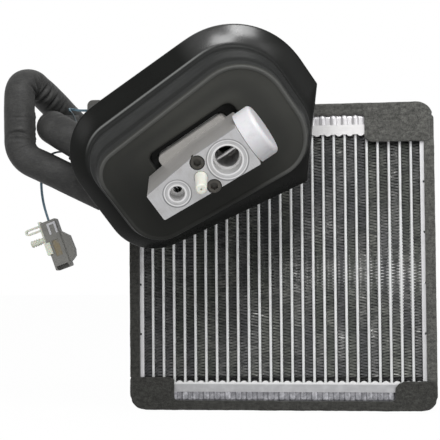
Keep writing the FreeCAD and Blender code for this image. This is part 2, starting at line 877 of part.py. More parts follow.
def valve_spring():
    """Coil spring between the adjusting screw and the needle."""
    mid = valve_axis_v
    low = adjuster_face() + spring_wire / 2 + pipe_fit
    high = seat_u - needle_lift - needle_diameter / 2 + spring_wire
    mean = (spring_outer - spring_wire) / 2
    helix = Part.makeHelix((high - low) / spring_turns, high - low, mean)
    ring = Part.Wire(Part.Circle(V(mean, 0, 0), BACK, spring_wire / 2).toShape())
    coil = Part.Wire(helix).makePipeShell([ring], True, True)
    spin = FreeCAD.Placement(V(low, mid, -rod_depth), FreeCAD.Rotation(BACK, 90))
    coil.transformShape(spin.toMatrix(), True)
    return on_dash(coil)


def power_head():
    """Diaphragm can that is screwed into the right end of the valve."""
    mid = valve_axis_v
    base = valve_right + screw_fit
    spigot = rod(head_spigot, V(valve_right - head_spigot_length, mid, -rod_depth),
                 V(base, mid, -rod_depth))
    can = rod(2 * head_radius, V(base, mid, -rod_depth), V(base + head_length, mid, -rod_depth))
    rims = [e for e in can.Edges if len(e.Vertexes) == 1]
    can = can.makeFillet(head_round, rims)
    return on_dash(can.fuse(spigot))


def power_head_cap():
    """Moulded cap over the power head."""
    mid = valve_axis_v
    base = valve_right + cap_gap
    outer = rod(2 * cap_radius, V(base, mid, -rod_depth), V(base + cap_length, mid, -rod_depth))
    rim = [e for e in outer.Edges if abs(e.CenterOfMass.x - base - cap_length) < 0.01]
    outer = outer.makeFillet(cap_edge, rim)
    room = rod(2 * (cap_radius - cap_wall), V(base - past, mid, -rod_depth),
               V(base + cap_length - cap_end_wall, mid, -rod_depth))
    return on_dash(outer.cut(room))


def flange_spigots():
    """Places and diameters of the two spigots of the pipe flange."""
    return ((suction_u, suction_spigot, suction_pipe_outer, suction_spigot_bore),
            (liquid_rear_u, liquid_spigot, liquid_pipe_outer, liquid_spigot_bore))


def pipe_flange():
    """Plate that joins both pipes to the back of the valve."""
    mid = valve_axis_v
    back = -valve_depth - flange_thickness
    body = plate(rounded_rectangle(flange_left, flange_right, flange_low, flange_high, flange_corner),
                 back, -valve_depth - pipe_fit)
    adds = []
    holes = []
    for u, spigot, outer, bore in flange_spigots():
        foot = V(u, mid, -valve_depth - past)
        adds.append(rod(spigot, foot, V(u, mid, -valve_depth + spigot_length)))
        holes.append(rod(bore, V(u, mid, back - past), V(u, mid, -valve_depth + spigot_length + past)))
        holes.append(rod(outer + 2 * pipe_fit, V(u, mid, back - past),
                         V(u, mid, back + flange_thickness / 2)))
        groove = rod(spigot + past, V(u, mid, -valve_depth + seal_depth - seal_section / 2),
                     V(u, mid, -valve_depth + seal_depth + seal_section / 2))
        core = rod(spigot - 2 * seal_groove, V(u, mid, -valve_depth), V(u, mid, 0))
        holes.append(groove.cut(core))
    for side in (-1, 1):
        v = mid + side * screw_half_spacing
        holes.append(rod(screw_diameter + 2 * pipe_fit, V(screw_u, v, back - past), V(screw_u, v, 0)))
    return on_dash(body.fuse(adds).cut(holes))


def port_seals():
    """The two rubber rings in the grooves of the flange spigots."""
    seals = []
    for u, spigot, outer, bore in flange_spigots():
        ring = Part.makeTorus(spigot / 2 - seal_groove + seal_section / 2, seal_section / 2 - pipe_fit,
                              V(u, valve_axis_v, -valve_depth + seal_depth))
        seals.append(ring)
    return on_dash(Part.makeCompound(seals))


def inset(points, amount):
    """Corner list moved inwards by the same amount on every side."""
    count = len(points)
    area = 0.0
    for i in range(count):
        x0, y0 = points[i][0], points[i][1]
        x1, y1 = points[(i + 1) % count][0], points[(i + 1) % count][1]
        area += x0 * y1 - x1 * y0
    side = 1 if area > 0 else -1
    moved = []
    for i in range(count):
        here = V(points[i][0], points[i][1], 0)
        before = V(points[i - 1][0], points[i - 1][1], 0)
        after = V(points[(i + 1) % count][0], points[(i + 1) % count][1], 0)
        into = (here - before).normalize()
        out = (after - here).normalize()
        normal_in = V(-into.y, into.x, 0) * side
        normal_out = V(-out.y, out.x, 0) * side
        bisector = (normal_in + normal_out).normalize()
        step = amount / bisector.dot(normal_in)
        corner = here + bisector * step
        moved.append((corner.x, corner.y, max(points[i][2] - amount, boot_inner_round)))
    return moved


def loft(lower, low, upper, high):
    """Straight-sided solid between two outlines at two heights."""
    wires = [filleted_loop(lower, low), filleted_loop(upper, high)]
    return Part.makeLoft(wires, True, True)


def dash_boot():
    """Moulded rubber boot: panel, raised wall, sloping flange and slot with a lip."""
    wall = boot_wall
    rear = -boot_edge_depth - wall
    outer = loft(foot_outline, -boot_foot_depth, panel_outline, -boot_panel_depth)
    skirt = loft(edge_outline, -boot_edge_depth, foot_outline, -boot_foot_depth)
    rim = plate(edge_outline, rear, -boot_edge_depth)
    inner_panel = inset(panel_outline, wall)
    inner_foot = inset(foot_outline, wall)
    inner = loft(inner_foot, -boot_foot_depth - wall, inner_panel, -boot_panel_depth - wall)
    inner_skirt = loft(inset(edge_outline, wall / 2), rear, inner_foot, -boot_foot_depth - wall)
    under = plate(inset(edge_outline, wall / 2), rear - past, rear)
    shell = outer.fuse([skirt, rim]).cut([inner, inner_skirt, under])
    collar_rear = -boot_panel_depth - slot_collar_depth
    collar = plate(rounded_rectangle(slot_left - wall, slot_right + wall, slot_low - wall,
                                     slot_high + wall, slot_corner + wall),
                   collar_rear, -boot_panel_depth - wall / 2)
    slot = plate(rounded_rectangle(slot_left, slot_right, slot_low, slot_high, slot_corner),
                 collar_rear + wall, 0)
    fit = slot_lip_fit
    lip = plate(rounded_rectangle(flange_left - fit, flange_right + fit, flange_low - fit,
                                  flange_high + fit, flange_corner + fit), rear, 0)
    pips = []
    for u, v in boot_pips:
        pips.append(Part.makeSphere(boot_pip_radius, V(u, v, -boot_edge_depth - wall / 2)))
    return on_dash(shell.fuse(collar).cut([slot, lip]).fuse(pips))


def sensor_holder():
    """Clip round the suction pipe with the tab that holds the sensor."""
    points = suction_points()
    run_start = points[4]
    run = points[5] - run_start
    share = (port_left + holder_start - run_start.x) / run.x
    start = run_start + run * share
    end = start + (points[5] - points[4]).normalize() * holder_length
    ring = rod(holder_ring, start, end)
    bore_start = start - (end - start)
    bore = rod(suction_pipe_outer + 2 * sleeve_fit, bore_start, end + (end - start))
    mid_y = (start.y + end.y) / 2
    tab_edge = port_left + tab_left
    outline = front_outline(tab_edge, tab_edge + tab_width, start.z, port_height + tab_top,
                            (tab_foot_round, tab_foot_round, tab_corner, tab_corner),
                            mid_y - tab_thickness / 2)
    tab = outline.extrude(BACK * tab_thickness)
    return ring.fuse(tab).cut(bore)


def lead_points():
    """Corners of the sensor lead from the tab to the top of its plug."""
    return [at_port(*p) for p in lead_route]


def lead_radii(points):
    """Bend radii that the runs of the lead allow."""
    radii = []
    for i in range(1, len(points) - 1):
        before = points[i] - points[i - 1]
        after = points[i + 1] - points[i]
        turn = before.getAngle(after)
        radii.append(0.45 * min(before.Length, after.Length) / math.tan(turn / 2))
    return radii


def sensor_lead():
    """Twin lead that hangs from the sensor holder."""
    points = lead_points()
    radii = lead_radii(points)
    path = route_wire(points, radii)
    lead = swept(path, lead_width)
    section = math.pi * lead_width ** 2 / 4
    print("lead radii", [round(r, 1) for r in radii])
    print("lead length", round(path.Length, 1), "volume ratio", round(lead.Volume / section / path.Length, 4))
    return lead


def plug_placement():
    """Placement of the hanging plug: its top middle, leaning to the right."""
    return FreeCAD.Placement(lead_points()[-1], FreeCAD.Rotation(BACK, -plug_lean))


def on_plug(shape):
    """Move a piece from the plug's own frame to the frame of the part."""
    moved = shape.copy()
    moved.transformShape(plug_placement().toMatrix(), True)
    return moved


def upright_prism(points, y0, y1):
    """Solid with a sharp outline in the XZ plane."""
    corners = [V(x, y0, z) for x, z in points]
    return Part.Face(Part.makePolygon(corners + [corners[0]])).extrude(V(0, y1 - y0, 0))


def connector_housing():
    """Two-way connector housing with a side hood and an open mouth."""
    w = housing_half_width
    d = housing_half_depth
    body = box(-w, w, -d, d, -housing_length, 0)
    body = body.makeChamfer(housing_edge, body.Edges)
    hood_points = [(w - hood_sink, hood_outline[0][1] + hood_slope)] + list(hood_outline)
    hood_points.append((w - hood_sink, hood_outline[-1][1]))
    hood = upright_prism(hood_points, -hood_half_depth, hood_half_depth)
    mouth = box(-mouth_half_width, mouth_half_width, -mouth_half_depth, mouth_half_depth,
                -housing_length - past, -housing_length + mouth_depth)
    notch = box(-mouth_half_width, mouth_half_width, -d - past, 0,
                -housing_length - past, -housing_length + mouth_notch)
    window = box(window_shift - window_half_width, window_shift + window_half_width,
                 -d - past, -d + window_depth, window_bottom, window_top)
    return on_plug(body.fuse(hood).cut([mouth, notch, window, lock_room()]))


def lock_shape(grow):
    """Two-legged terminal lock in the front of the housing."""
    front = -housing_half_depth - lock_stand_out
    back = -housing_half_depth + lock_thickness
    x0 = lock_middle - lock_half_width
    x1 = lock_middle + lock_half_width
    bar = box(x0 - grow, x1 + grow, front - grow, back + grow, lock_top - lock_leg - grow, lock_top + grow)
    left = box(x0 - grow, x0 + lock_leg + grow, front - grow, back + grow, lock_bottom - grow, lock_top)
    right = box(x1 - lock_leg - grow, x1 + grow, front - grow, back + grow, lock_bottom - grow, lock_top)
    return bar.fuse([left, right]).removeSplitter()


def lock_room():
    """Pocket of the terminal lock."""
    return lock_shape(pipe_fit)


def holder_clip():
    """Translucent holder on the side of the connector with two prongs."""
    x1 = -housing_half_width - pipe_fit
    x0 = x1 - clip_thickness
    d = clip_half_depth
    strip = box(x0, x1, -d, d, clip_bottom, clip_top)
    adds = []
    for z0 in (loop_bottom, loop_top - loop_bar):
        adds.append(box(x0 - loop_reach + loop_nose, x0, -loop_half_depth, loop_half_depth,
                        z0, z0 + loop_bar))
    mid_z = (loop_top + loop_bottom) / 2
    radius = (loop_top - loop_bottom) / 2
    nose_foot = V(x0 - loop_reach + loop_nose, -loop_half_depth, mid_z)
    nose = Part.makeCylinder(radius, 2 * loop_half_depth, nose_foot, BACK)
    nose_bore = Part.makeCylinder(radius - loop_bar, 2 * loop_half_depth, nose_foot, BACK)
    half_cut = box(nose_foot.x, nose_foot.x + radius + past, -d, d,
                   loop_bottom - past, loop_top + past)
    adds.append(nose.cut([nose_bore, half_cut]))
    stem_end = V(x0 - tree_reach, 0, tree_height)
    adds.append(rod(tree_stem, V(x0, 0, tree_height), stem_end))
    for i in range(tree_fins):
        foot = stem_end + V(tree_fin_pitch * i, 0, 0)
        adds.append(Part.makeCone(tree_stem / 2, tree_fin_radius, tree_fin_length, foot, RIGHT))
    front = -housing_half_depth - pipe_fit
    adds.append(box(x0, x1 + hook_reach, front - hook_thickness, front, clip_bottom, hook_top))
    adds.append(box(x0, x1, front - hook_thickness, 0, clip_bottom, hook_top))
    return on_plug(strip.fuse(adds))


def build():
    """Make every piece and write it."""
    os.makedirs("parts", exist_ok=True)
    for i in range(tube_count):
        save("flat_tube_%02d" % (i + 1), flat_tube(tube_x(i)))
    save("fin_columns", fins())
    save("side_plate_left", side_plate(-1))
    save("side_plate_right", side_plate(1))
    header = header_plate()
    cover = tank_cover()
    cap = end_cap()
    save("top_header_plate", header)
    save("bottom_header_plate", mirror_to_bottom(header))
    save("top_tank_cover", cover)
    save("bottom_tank_cover", mirror_to_bottom(cover))
    save("top_end_cap", cap)
    save("bottom_end_cap_right", mirror_to_bottom(cap))
    save("bottom_end_cap_left", mirror_to_bottom(cap).mirror(V(0, 0, 0), RIGHT))
    save("port_block", port_block())
    top_foam = foam_top()
    bottom_foam = foam_bottom()
    save("foam_top", top_foam)
    save("foam_bottom", bottom_foam)
    save("foam_left", foam_side(-1, [top_foam, bottom_foam]))
    save("foam_right", foam_side(1, [top_foam, bottom_foam]))
    suction = suction_points()
    liquid = liquid_points()
    save("suction_pipe", pipe(suction, suction_bends, suction_pipe_outer, suction_pipe_bore))
    save("liquid_pipe", pipe(liquid, liquid_bends, liquid_pipe_outer, liquid_pipe_bore))
    save("suction_sleeve", sleeve(suction, suction_bends, suction_sleeve_start,
                                  suction_sleeve_end, suction_sleeve_outer,
                                  suction_pipe_outer))
    save("liquid_sleeve", sleeve(liquid, liquid_bends, liquid_sleeve_start,
                                 liquid_sleeve_end, liquid_sleeve_outer,
                                 liquid_pipe_outer))
    save("pipe_flange", pipe_flange())
    save("port_seals", port_seals())
    save("valve_body", valve_body())
    save("valve_screws", valve_screws())
    save("thread_plug", thread_plug())
    save("push_rod", push_rod())
    save("valve_spring", valve_spring())
    save("adjusting_screw", adjusting_screw())
    save("power_head", power_head())
    save("power_head_cap", power_head_cap())
    save("dash_boot", dash_boot())
    save("sensor_holder", sensor_holder())
    save("sensor_lead", sensor_lead())
    save("connector_housing", connector_housing())
    save("terminal_lock", on_plug(lock_shape(0)))
    save("holder_clip", holder_clip())


build()
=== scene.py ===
import logging
import math
from contextlib import contextmanager
from dataclasses import dataclass, field
from enum import Enum
from typing import Dict, Iterator, List, Optional, Sequence, Tuple, Union

import bmesh
import bpy
from mathutils import Matrix, Vector, noise


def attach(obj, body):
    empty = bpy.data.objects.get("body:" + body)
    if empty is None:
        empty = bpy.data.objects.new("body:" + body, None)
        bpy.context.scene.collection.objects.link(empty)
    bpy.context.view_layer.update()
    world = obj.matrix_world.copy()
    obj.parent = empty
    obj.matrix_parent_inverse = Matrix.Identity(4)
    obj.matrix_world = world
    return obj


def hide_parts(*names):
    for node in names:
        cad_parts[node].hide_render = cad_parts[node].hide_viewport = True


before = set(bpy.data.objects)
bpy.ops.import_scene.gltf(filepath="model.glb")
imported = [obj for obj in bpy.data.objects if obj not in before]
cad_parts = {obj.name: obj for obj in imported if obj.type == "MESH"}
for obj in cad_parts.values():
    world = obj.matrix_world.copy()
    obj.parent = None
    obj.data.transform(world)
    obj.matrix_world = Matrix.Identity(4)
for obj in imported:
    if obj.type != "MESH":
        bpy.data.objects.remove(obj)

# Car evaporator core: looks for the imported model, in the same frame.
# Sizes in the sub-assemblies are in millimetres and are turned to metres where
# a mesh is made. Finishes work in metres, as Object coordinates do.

LOG = logging.getLogger("evaporator_core")
MM = 0.001
BODY = "root"
PICTURE_SIDE = 440
WHITE = (1.0, 1.0, 1.0, 1.0)
FRONT = (0.0, -1.0, 0.0)
POINT_MERGE = 1e-7
NODE_MERGE = 1e-6

Triple = Tuple[float, float, float]
Colour = Triple
Corner = Triple
Span = Tuple[float, float]
Sides = Tuple[float, float, float, float]
Row = Tuple[Sequence[Vector], float]
Operand = Union["Signal", float, Triple]


# Patterns


class Flow(Enum):
    """The way that a finish's fine lines run."""

    NONE = (1.0, 1.0, 1.0)
    UP = (1.0, 1.0, 0.04)
    ACROSS = (0.04, 1.0, 1.0)
    THROUGH = (1.0, 0.04, 1.0)


class Grain(Enum):
    """A noise's detail and roughness, from plain to broken up."""

    BLOT = (0.0, 0.5)
    SOFT = (2.0, 0.5)
    WORN = (3.0, 0.5)
    FINE = (2.0, 0.6)
    LINE = (3.0, 0.6)
    CLOUD = (4.0, 0.6)
    STAIN = (4.0, 0.65)
    CELL = (3.0, 0.7)
    MOTTLE = (4.0, 0.7)


# Node graphs


class Signal:
    """A value that flows through a node graph, with Python's own arithmetic."""

    def __init__(self, graph: "Graph", socket: bpy.types.NodeSocket) -> None:
        """Keep the socket.

        Args:
            graph: The graph that the socket belongs to.
            socket: The output socket that carries the value.
        """
        self.graph = graph
        self.socket = socket

    def _maths(self, operation: str, first: Operand, second: Operand) -> "Signal":
        """Return a Math node's result on two operands."""
        return self.graph.node("ShaderNodeMath", {"operation": operation}, {0: first, 1: second})

    def __add__(self, other: Operand) -> "Signal":
        """Return self + other."""
        return self._maths("ADD", self, other)

    def __radd__(self, other: Operand) -> "Signal":
        """Return other + self."""
        return self._maths("ADD", other, self)

    def __sub__(self, other: Operand) -> "Signal":
        """Return self - other."""
        return self._maths("SUBTRACT", self, other)

    def __rsub__(self, other: Operand) -> "Signal":
        """Return other - self."""
        return self._maths("SUBTRACT", other, self)

    def __mul__(self, other: Operand) -> "Signal":
        """Return self * other."""
        return self._maths("MULTIPLY", self, other)

    def __rmul__(self, other: Operand) -> "Signal":
        """Return other * self."""
        return self._maths("MULTIPLY", other, self)

    def __pow__(self, other: Operand) -> "Signal":
        """Return self to the power of other."""
        return self._maths("POWER", self, other)

    def __rtruediv__(self, other: Operand) -> "Signal":
        """Return other / self."""
        return self._maths("DIVIDE", other, self)

    def at_least(self, other: Operand) -> "Signal":
        """Return the larger of self and other."""
        return self._maths("MAXIMUM", self, other)

    def above(self, other: Operand) -> "Signal":
        """Return 1 where self is greater than other and 0 elsewhere."""
        return self._maths("GREATER_THAN", self, other)

    def rounded(self) -> "Signal":
        """Return the nearest whole number."""
        return self._maths("ROUND", self, 0.0)

    def size(self) -> "Signal":
        """Return the value without its sign."""
        return self._maths("ABSOLUTE", self, 0.0)

    def level(self, share: float, base: float) -> "Signal":
        """Return self * share + base."""
        return self * share + base

    def ramp(self, low: float, high: float) -> "Signal":
        """Return a smooth step that is 0 at low and 1 at high.

        Args:
            low: The value that gives 0.
            high: The value that gives 1; it may be below low.

        Returns:
            The step, between 0 and 1.
        """
        settings = {"interpolation_type": "SMOOTHSTEP"}
        if low > high:
            return 1.0 - self.ramp(high, low)
        return self.graph.node("ShaderNodeMapRange", settings, {0: self, 1: low, 2: high, 3: 0.0, 4: 1.0})


class Graph:
    """A node tree to which nodes are added in one way."""

    def __init__(self, tree: bpy.types.NodeTree) -> None:
        """Keep the tree."""
        self.tree = tree

    def node(self, kind: str, settings: Optional[dict] = None, sockets: Optional[dict] = None,
             output: Union[int, str] = 0) -> Signal:
        """Add one node.

        Args:
            kind: The node's type.
            settings: The node's own options, set first.
            sockets: Values or signals for its inputs, by name or number.
            output: The output that is returned.

        Returns:
            The chosen output as a signal.
        """
        made = self.tree.nodes.new(kind)
        for key, value in (settings or {}).items():
            setattr(made, key, value)
        for key, value in (sockets or {}).items():
            if isinstance(value, Signal):
                self.tree.links.new(value.socket, made.inputs[key])
            else:
                made.inputs[key].default_value = value
        return Signal(self, made.outputs[output])

    def vector(self, x: Operand, y: Operand, z: Operand) -> Signal:
        """Return a vector of three signals or numbers."""
        return self.node("ShaderNodeCombineXYZ", {}, {0: x, 1: y, 2: z})

    def axis(self, vector: Signal, name: str) -> Signal:
        """Return one part of a vector, X, Y or Z."""
        return self.node("ShaderNodeSeparateXYZ", {}, {0: vector}, name)

    def close(self, kind: str, key: Union[int, str], value: Signal) -> None:
        """Add an output node and join a signal to one of its inputs."""
        made = self.tree.nodes.new(kind)
        self.tree.links.new(value.socket, made.inputs[key])


class ShaderGraph(Graph):
    """The node tree of one material."""

    def __init__(self, name: str) -> None:
        """Start a material, whose place is the Object coordinates, the frame's own metres.

        Args:
            name: The material's name.
        """
        self.material = bpy.data.materials.new(name)
        self.material.use_nodes = True
        super().__init__(self.material.node_tree)
        self.tree.nodes.clear()
        self.place = self.node("ShaderNodeTexCoord", output="Object")

    def mapped(self, vector: Signal, stretch: Triple, turn: Triple = (0.0, 0.0, 0.0),
               move: Triple = (0.0, 0.0, 0.0)) -> Signal:
        """Return a vector that is scaled, then turned, then moved."""
        sockets = {"Vector": vector, "Scale": stretch, "Rotation": turn, "Location": move}
        return self.node("ShaderNodeMapping", {}, sockets)

    def local(self, vector: Signal, frame_matrix: Matrix) -> Signal:
        """Return a vector in a leaning frame, given that frame's placement in metres."""
        inverse = frame_matrix.inverted()
        return self.mapped(vector, (1.0, 1.0, 1.0), tuple(inverse.to_euler()), tuple(inverse.translation))

    def noise(self, vector: Signal, size: float, grain: Grain, stretch: Triple = Flow.NONE.value) -> Signal:
        """Return noise from 0 to 1.

        Args:
            vector: The coordinates that it lies on.
            size: About how large its features are, in the coordinates' own unit.
            grain: Its detail and roughness.
            stretch: The scale of the coordinates along each axis.

        Returns:
            The noise.
        """
        detail, rough = grain.value
        sockets = {"Vector": self.mapped(vector, stretch), "Scale": 1.0 / size, "Detail": detail,
                   "Roughness": rough}
        return self.node("ShaderNodeTexNoise", {}, sockets)

    def blend(self, share: Operand, first: Union[Signal, Colour], second: Union[Signal, Colour]) -> Signal:
        """Return a mix of two colours.

        Args:
            share: Where it is 0 the first colour shows, and where it is 1 the second.
            first: The first colour.
            second: The second colour.

        Returns:
            The mixed colour.
        """
        first = first if isinstance(first, Signal) else (*first, 1.0)
        second = second if isinstance(second, Signal) else (*second, 1.0)
        return self.node("ShaderNodeMix", {"data_type": "RGBA"}, {0: share, 6: first, 7: second}, 2)

    def bump(self, height: Signal, depth: float) -> Signal:
        """Return a normal that is bumped by a height from 0 to 1."""
        return self.node("ShaderNodeBump", {}, {"Height": height, "Distance": depth})

    def surface(self, **sockets: Union[Operand, float]) -> Signal:
        """Return a Principled shader; an underscore in a key stands for a space."""
        named = {key.replace("_", " "): value for key, value in sockets.items()}
        return self.node("ShaderNodeBsdfPrincipled", {}, named)

    def done(self, shader: Signal) -> bpy.types.Material:
        """Join a shader to the output and return the material."""
        self.close("ShaderNodeOutputMaterial", "Surface", shader)
        return self.material


class FieldGraph(Graph):
    """A geometry node tree with named inputs, used as a modifier once."""

    def __init__(self, name: str) -> None:
        """Start an empty tree that gives geometry.

        Args:
            name: The tree's name.
        """
        super().__init__(bpy.data.node_groups.new(name, "GeometryNodeTree"))
        self.tree.interface.new_socket("Geometry", in_out="OUTPUT", socket_type="NodeSocketGeometry")
        self.keys: Dict[str, str] = {}
        self.values: Dict[str, object] = {}
        self.entry = self.tree.nodes.new("NodeGroupInput")

    def input(self, name: str, kind: str, value: object) -> Signal:
        """Add a named input.

        Args:
            name: The input's name.
            kind: Float, Int, Object or Material.
            value: The value that the modifier gives it.

        Returns:
            The input as a signal.
        """
        made = self.tree.interface.new_socket(name, in_out="INPUT", socket_type="NodeSocket" + kind)
        self.keys[name] = made.identifier
        self.values[name] = value
        socket = [s for s in self.entry.outputs if s.identifier == made.identifier][0]
        return Signal(self, socket)

    def bake(self, geometry: Signal) -> bpy.types.Mesh:
        """Run the tree once.

        Args:
            geometry: The signal that the tree ends in.

        Returns:
            The plain mesh that the tree gives.
        """
        self.close("NodeGroupOutput", 0, geometry)
        carrier = linked("tree_carrier", bpy.data.meshes.new("tree_carrier"))
        modifier = carrier.modifiers.new("Field", "NODES")
        modifier.node_group = self.tree
        for key, identifier in self.keys.items():
            modifier[identifier] = self.values[key]
        mesh = evaluated_mesh(carrier)
        bpy.data.objects.remove(carrier)
        return mesh


# Leaning frames


@dataclass(frozen=True)
class DashFrame:
    """The leaning frame of the valve and the boot: u along, v across, depth back.

    The boot's panel and the foot of its wall lie at the two depths.
    """

    centre: Triple = (-40.3, -146.1, 171.1)
    yaw: float = 9.0
    tilt: float = 21.5
    roll: float = 34.7
    panel_depth: float = 45.0
    foot_depth: float = 63.0

    def matrix(self) -> Matrix:
        """Return the turn from the dash frame to the part's frame."""
        turn = Matrix.Rotation(math.radians(self.yaw), 3, "Z")
        turn = turn @ Matrix.Rotation(math.radians(90.0 + self.tilt), 3, "X")
        return turn @ Matrix.Rotation(math.radians(self.roll), 3, "Z")

    def point(self, u: float, v: float, depth: float) -> Vector:
        """Return a point of the dash frame in the part's frame, in millimetres."""
        return Vector(self.centre) + self.matrix() @ Vector((u, v, -depth))

    def placement(self) -> Matrix:
        """Return the frame's placement in metres."""
        return Matrix.Translation(Vector(self.centre) * MM) @ self.matrix().to_4x4()


@dataclass(frozen=True)
class PlugFrame:
    """The frame of the hanging plug: its top middle, leaning to the right."""

    centre: Triple = (-180.9, -30.0, 147.9)
    lean: float = -19.5

    def placement(self) -> Matrix:
        """Return the frame's placement in metres."""
        turn = Matrix.Rotation(math.radians(self.lean), 4, "Y")
        return Matrix.Translation(Vector(self.centre) * MM) @ turn


# Finishes


@dataclass(frozen=True)
class Finish:
    """A finish, which makes one material."""

    name: str

    def build(self) -> bpy.types.Material:
        """Return the material."""
        graph = ShaderGraph(self.name)
        return graph.done(self.shader(graph))

    def shader(self, graph: ShaderGraph) -> Signal:
        """Return the finish's shader.

        Args:
            graph: The material's graph.

        Returns:
            The shader.
        """
        raise NotImplementedError


@dataclass(frozen=True)
class Metal(Finish):
    """Drawn, rolled, brazed or machined metal, with fine lines and stains."""

    colour: Colour
    stain: Colour
    roughness: float = 0.4
    metallic: float = 0.85
    flow: Flow = Flow.NONE
    line_size: float = 0.0006
    line_depth: float = 0.00002
    line_reach: Span = (0.45, 0.8)
    line_share: float = 0.5
    line_wear: float = 0.18
    stain_size: float = 0.012
    stain_share: float = 0.35
    stain_reach: Span = (0.42, 0.72)
    stain_wear: float = 0.12
    wear_shift: float = -0.12
    smoothest: float = 0.08
    lip: Optional[Span] = None
    lip_highlight_colour: Colour = (0.8, 0.8, 0.8)

    def shader(self, graph: ShaderGraph) -> Signal:
        """Return the shader; a lip paints a highlight band on the metal between two heights.

        Args:
            graph: The material's graph.

        Returns:
            The shader.
        """
        lines = graph.noise(graph.place, self.line_size, Grain.LINE, self.flow.value)
        stains = graph.noise(graph.place, self.stain_size, Grain.STAIN).ramp(*self.stain_reach)
        drawn = lines.ramp(*self.line_reach) * (self.stain_share * self.line_share)
        tone = graph.blend(stains * self.stain_share, self.colour, self.stain)
        tone = graph.blend(drawn, tone, self.stain)
        # Painted highlight: a pale band between two heights, along the bottom header's top edge.
        if self.lip:
            tone = graph.blend(graph.axis(graph.place, "Z").ramp(*self.lip), tone, self.lip_highlight_colour)
        gloss = lines * self.line_wear + stains * self.stain_wear + (self.roughness + self.wear_shift)
        return graph.surface(Base_Color=tone, Roughness=gloss.at_least(self.smoothest),
                             Metallic=self.metallic, Normal=graph.bump(lines, self.line_depth))


@dataclass(frozen=True)
class Port:
    """One port of the valve's face, in the dash frame and in millimetres."""

    u: float
    v: float
    outer: float
    bore: float


@dataclass(frozen=True)
class ValveMetal(Finish):
    """Machined block with a turned groove, painted highlights and painted shade round its two ports.

    The rings' places and widths are in millimetres, the rest is in metres.
    """

    colour: Colour
    stain: Colour
    line: Colour
    painted_highlight: Colour
    side: Colour = (0.4, 0.375, 0.34)
    dash: DashFrame = DashFrame()
    ports: Tuple[Port, ...] = (Port(20.6, 0.6, 14.5, 9.9), Port(-21.3, 0.6, 9.85, 5.25))
    roughness: float = 0.45
    metallic: float = 0.55
    face: Span = (-0.0022, -0.0008)
    rim: Span = (-0.004, -0.0005)
    edge_width: Span = (0.5, 0.1)
    groove_place: float = 0.54
    groove_width: Span = (0.7, 0.1)
    groove_share: float = 0.35
    lip_inset: float = 1.0
    lip_width: Span = (0.6, 0.1)
    mouth_inset: float = 0.8
    mouth_width: Span = (0.8, 0.2)
    wall_width: Span = (0.4, 0.2)
    mill_size: float = 0.0005
    mill_stretch: Triple = (1.0, 0.05, 1.0)
    mill_reach: Span = (0.45, 0.75)
    mill_depth: float = 0.00002
    stain_size: float = 0.009
    stain_reach: Span = (0.42, 0.75)
    stain_share: float = 0.45
    mill_share: float = 0.35
    side_share: float = 0.45
    dark_share: float = 0.75
    highlight_share: float = 0.7
    wear: float = 0.15
    wear_shift: float = -0.08

    def shader(self, graph: ShaderGraph) -> Signal:
        """Return the shader, with lines, a groove, painted highlight rings and painted shade round each port.

        Args:
            graph: The material's graph.

        Returns:
            The shader.
        """
        local = graph.local(graph.place, self.dash.placement())
        along, across, out = (graph.axis(local, name) for name in "XYZ")
        front = out.ramp(*self.face)
        dark: Operand = 0.0
        pale: Operand = 0.0
        for port in self.ports:
            reach = ((along - port.u * MM) ** 2.0 + (across - port.v * MM) ** 2.0) ** 0.5 * (1.0 / MM)
            # Painted shade: a dark line at the edge of each counterbore; the groove is a turned groove.
            edge = (reach - port.outer).size().ramp(*self.edge_width)
            middle = (port.outer + port.bore) * self.groove_place
            groove = (reach - middle).size().ramp(*self.groove_width) * self.groove_share
            # Painted highlights: pale rings on the counterbore's chamfer, on the bore's chamfer and down the
            # bore's wall.
            lip = (reach - port.outer + self.lip_inset).size().ramp(*self.lip_width)
            mouth = (reach - port.bore - self.mouth_inset).size().ramp(*self.mouth_width)
            wall = reach.ramp(*(port.bore + width for width in self.wall_width)) * (1.0 - front)
            dark = edge.at_least(groove).at_least(dark)
            pale = lip.at_least(mouth).at_least(wall).at_least(pale)
        milling = graph.noise(local, self.mill_size, Grain.FINE, self.mill_stretch)
        stains = graph.noise(graph.place, self.stain_size, Grain.STAIN).ramp(*self.stain_reach)
        marks = stains * self.stain_share + milling.ramp(*self.mill_reach) * self.mill_share
        tone = graph.blend(marks, self.colour, self.stain)
        tone = graph.blend((1.0 - out.ramp(*self.rim)) * self.side_share, tone, self.side)
        tone = graph.blend(dark * front * self.dark_share, tone, self.line)
        tone = graph.blend(pale * self.highlight_share, tone, self.painted_highlight)
        gloss = self.roughness + milling * self.wear + self.wear_shift
        return graph.surface(Base_Color=tone, Roughness=gloss, Metallic=self.metallic,
                             Normal=graph.bump(milling, self.mill_depth))


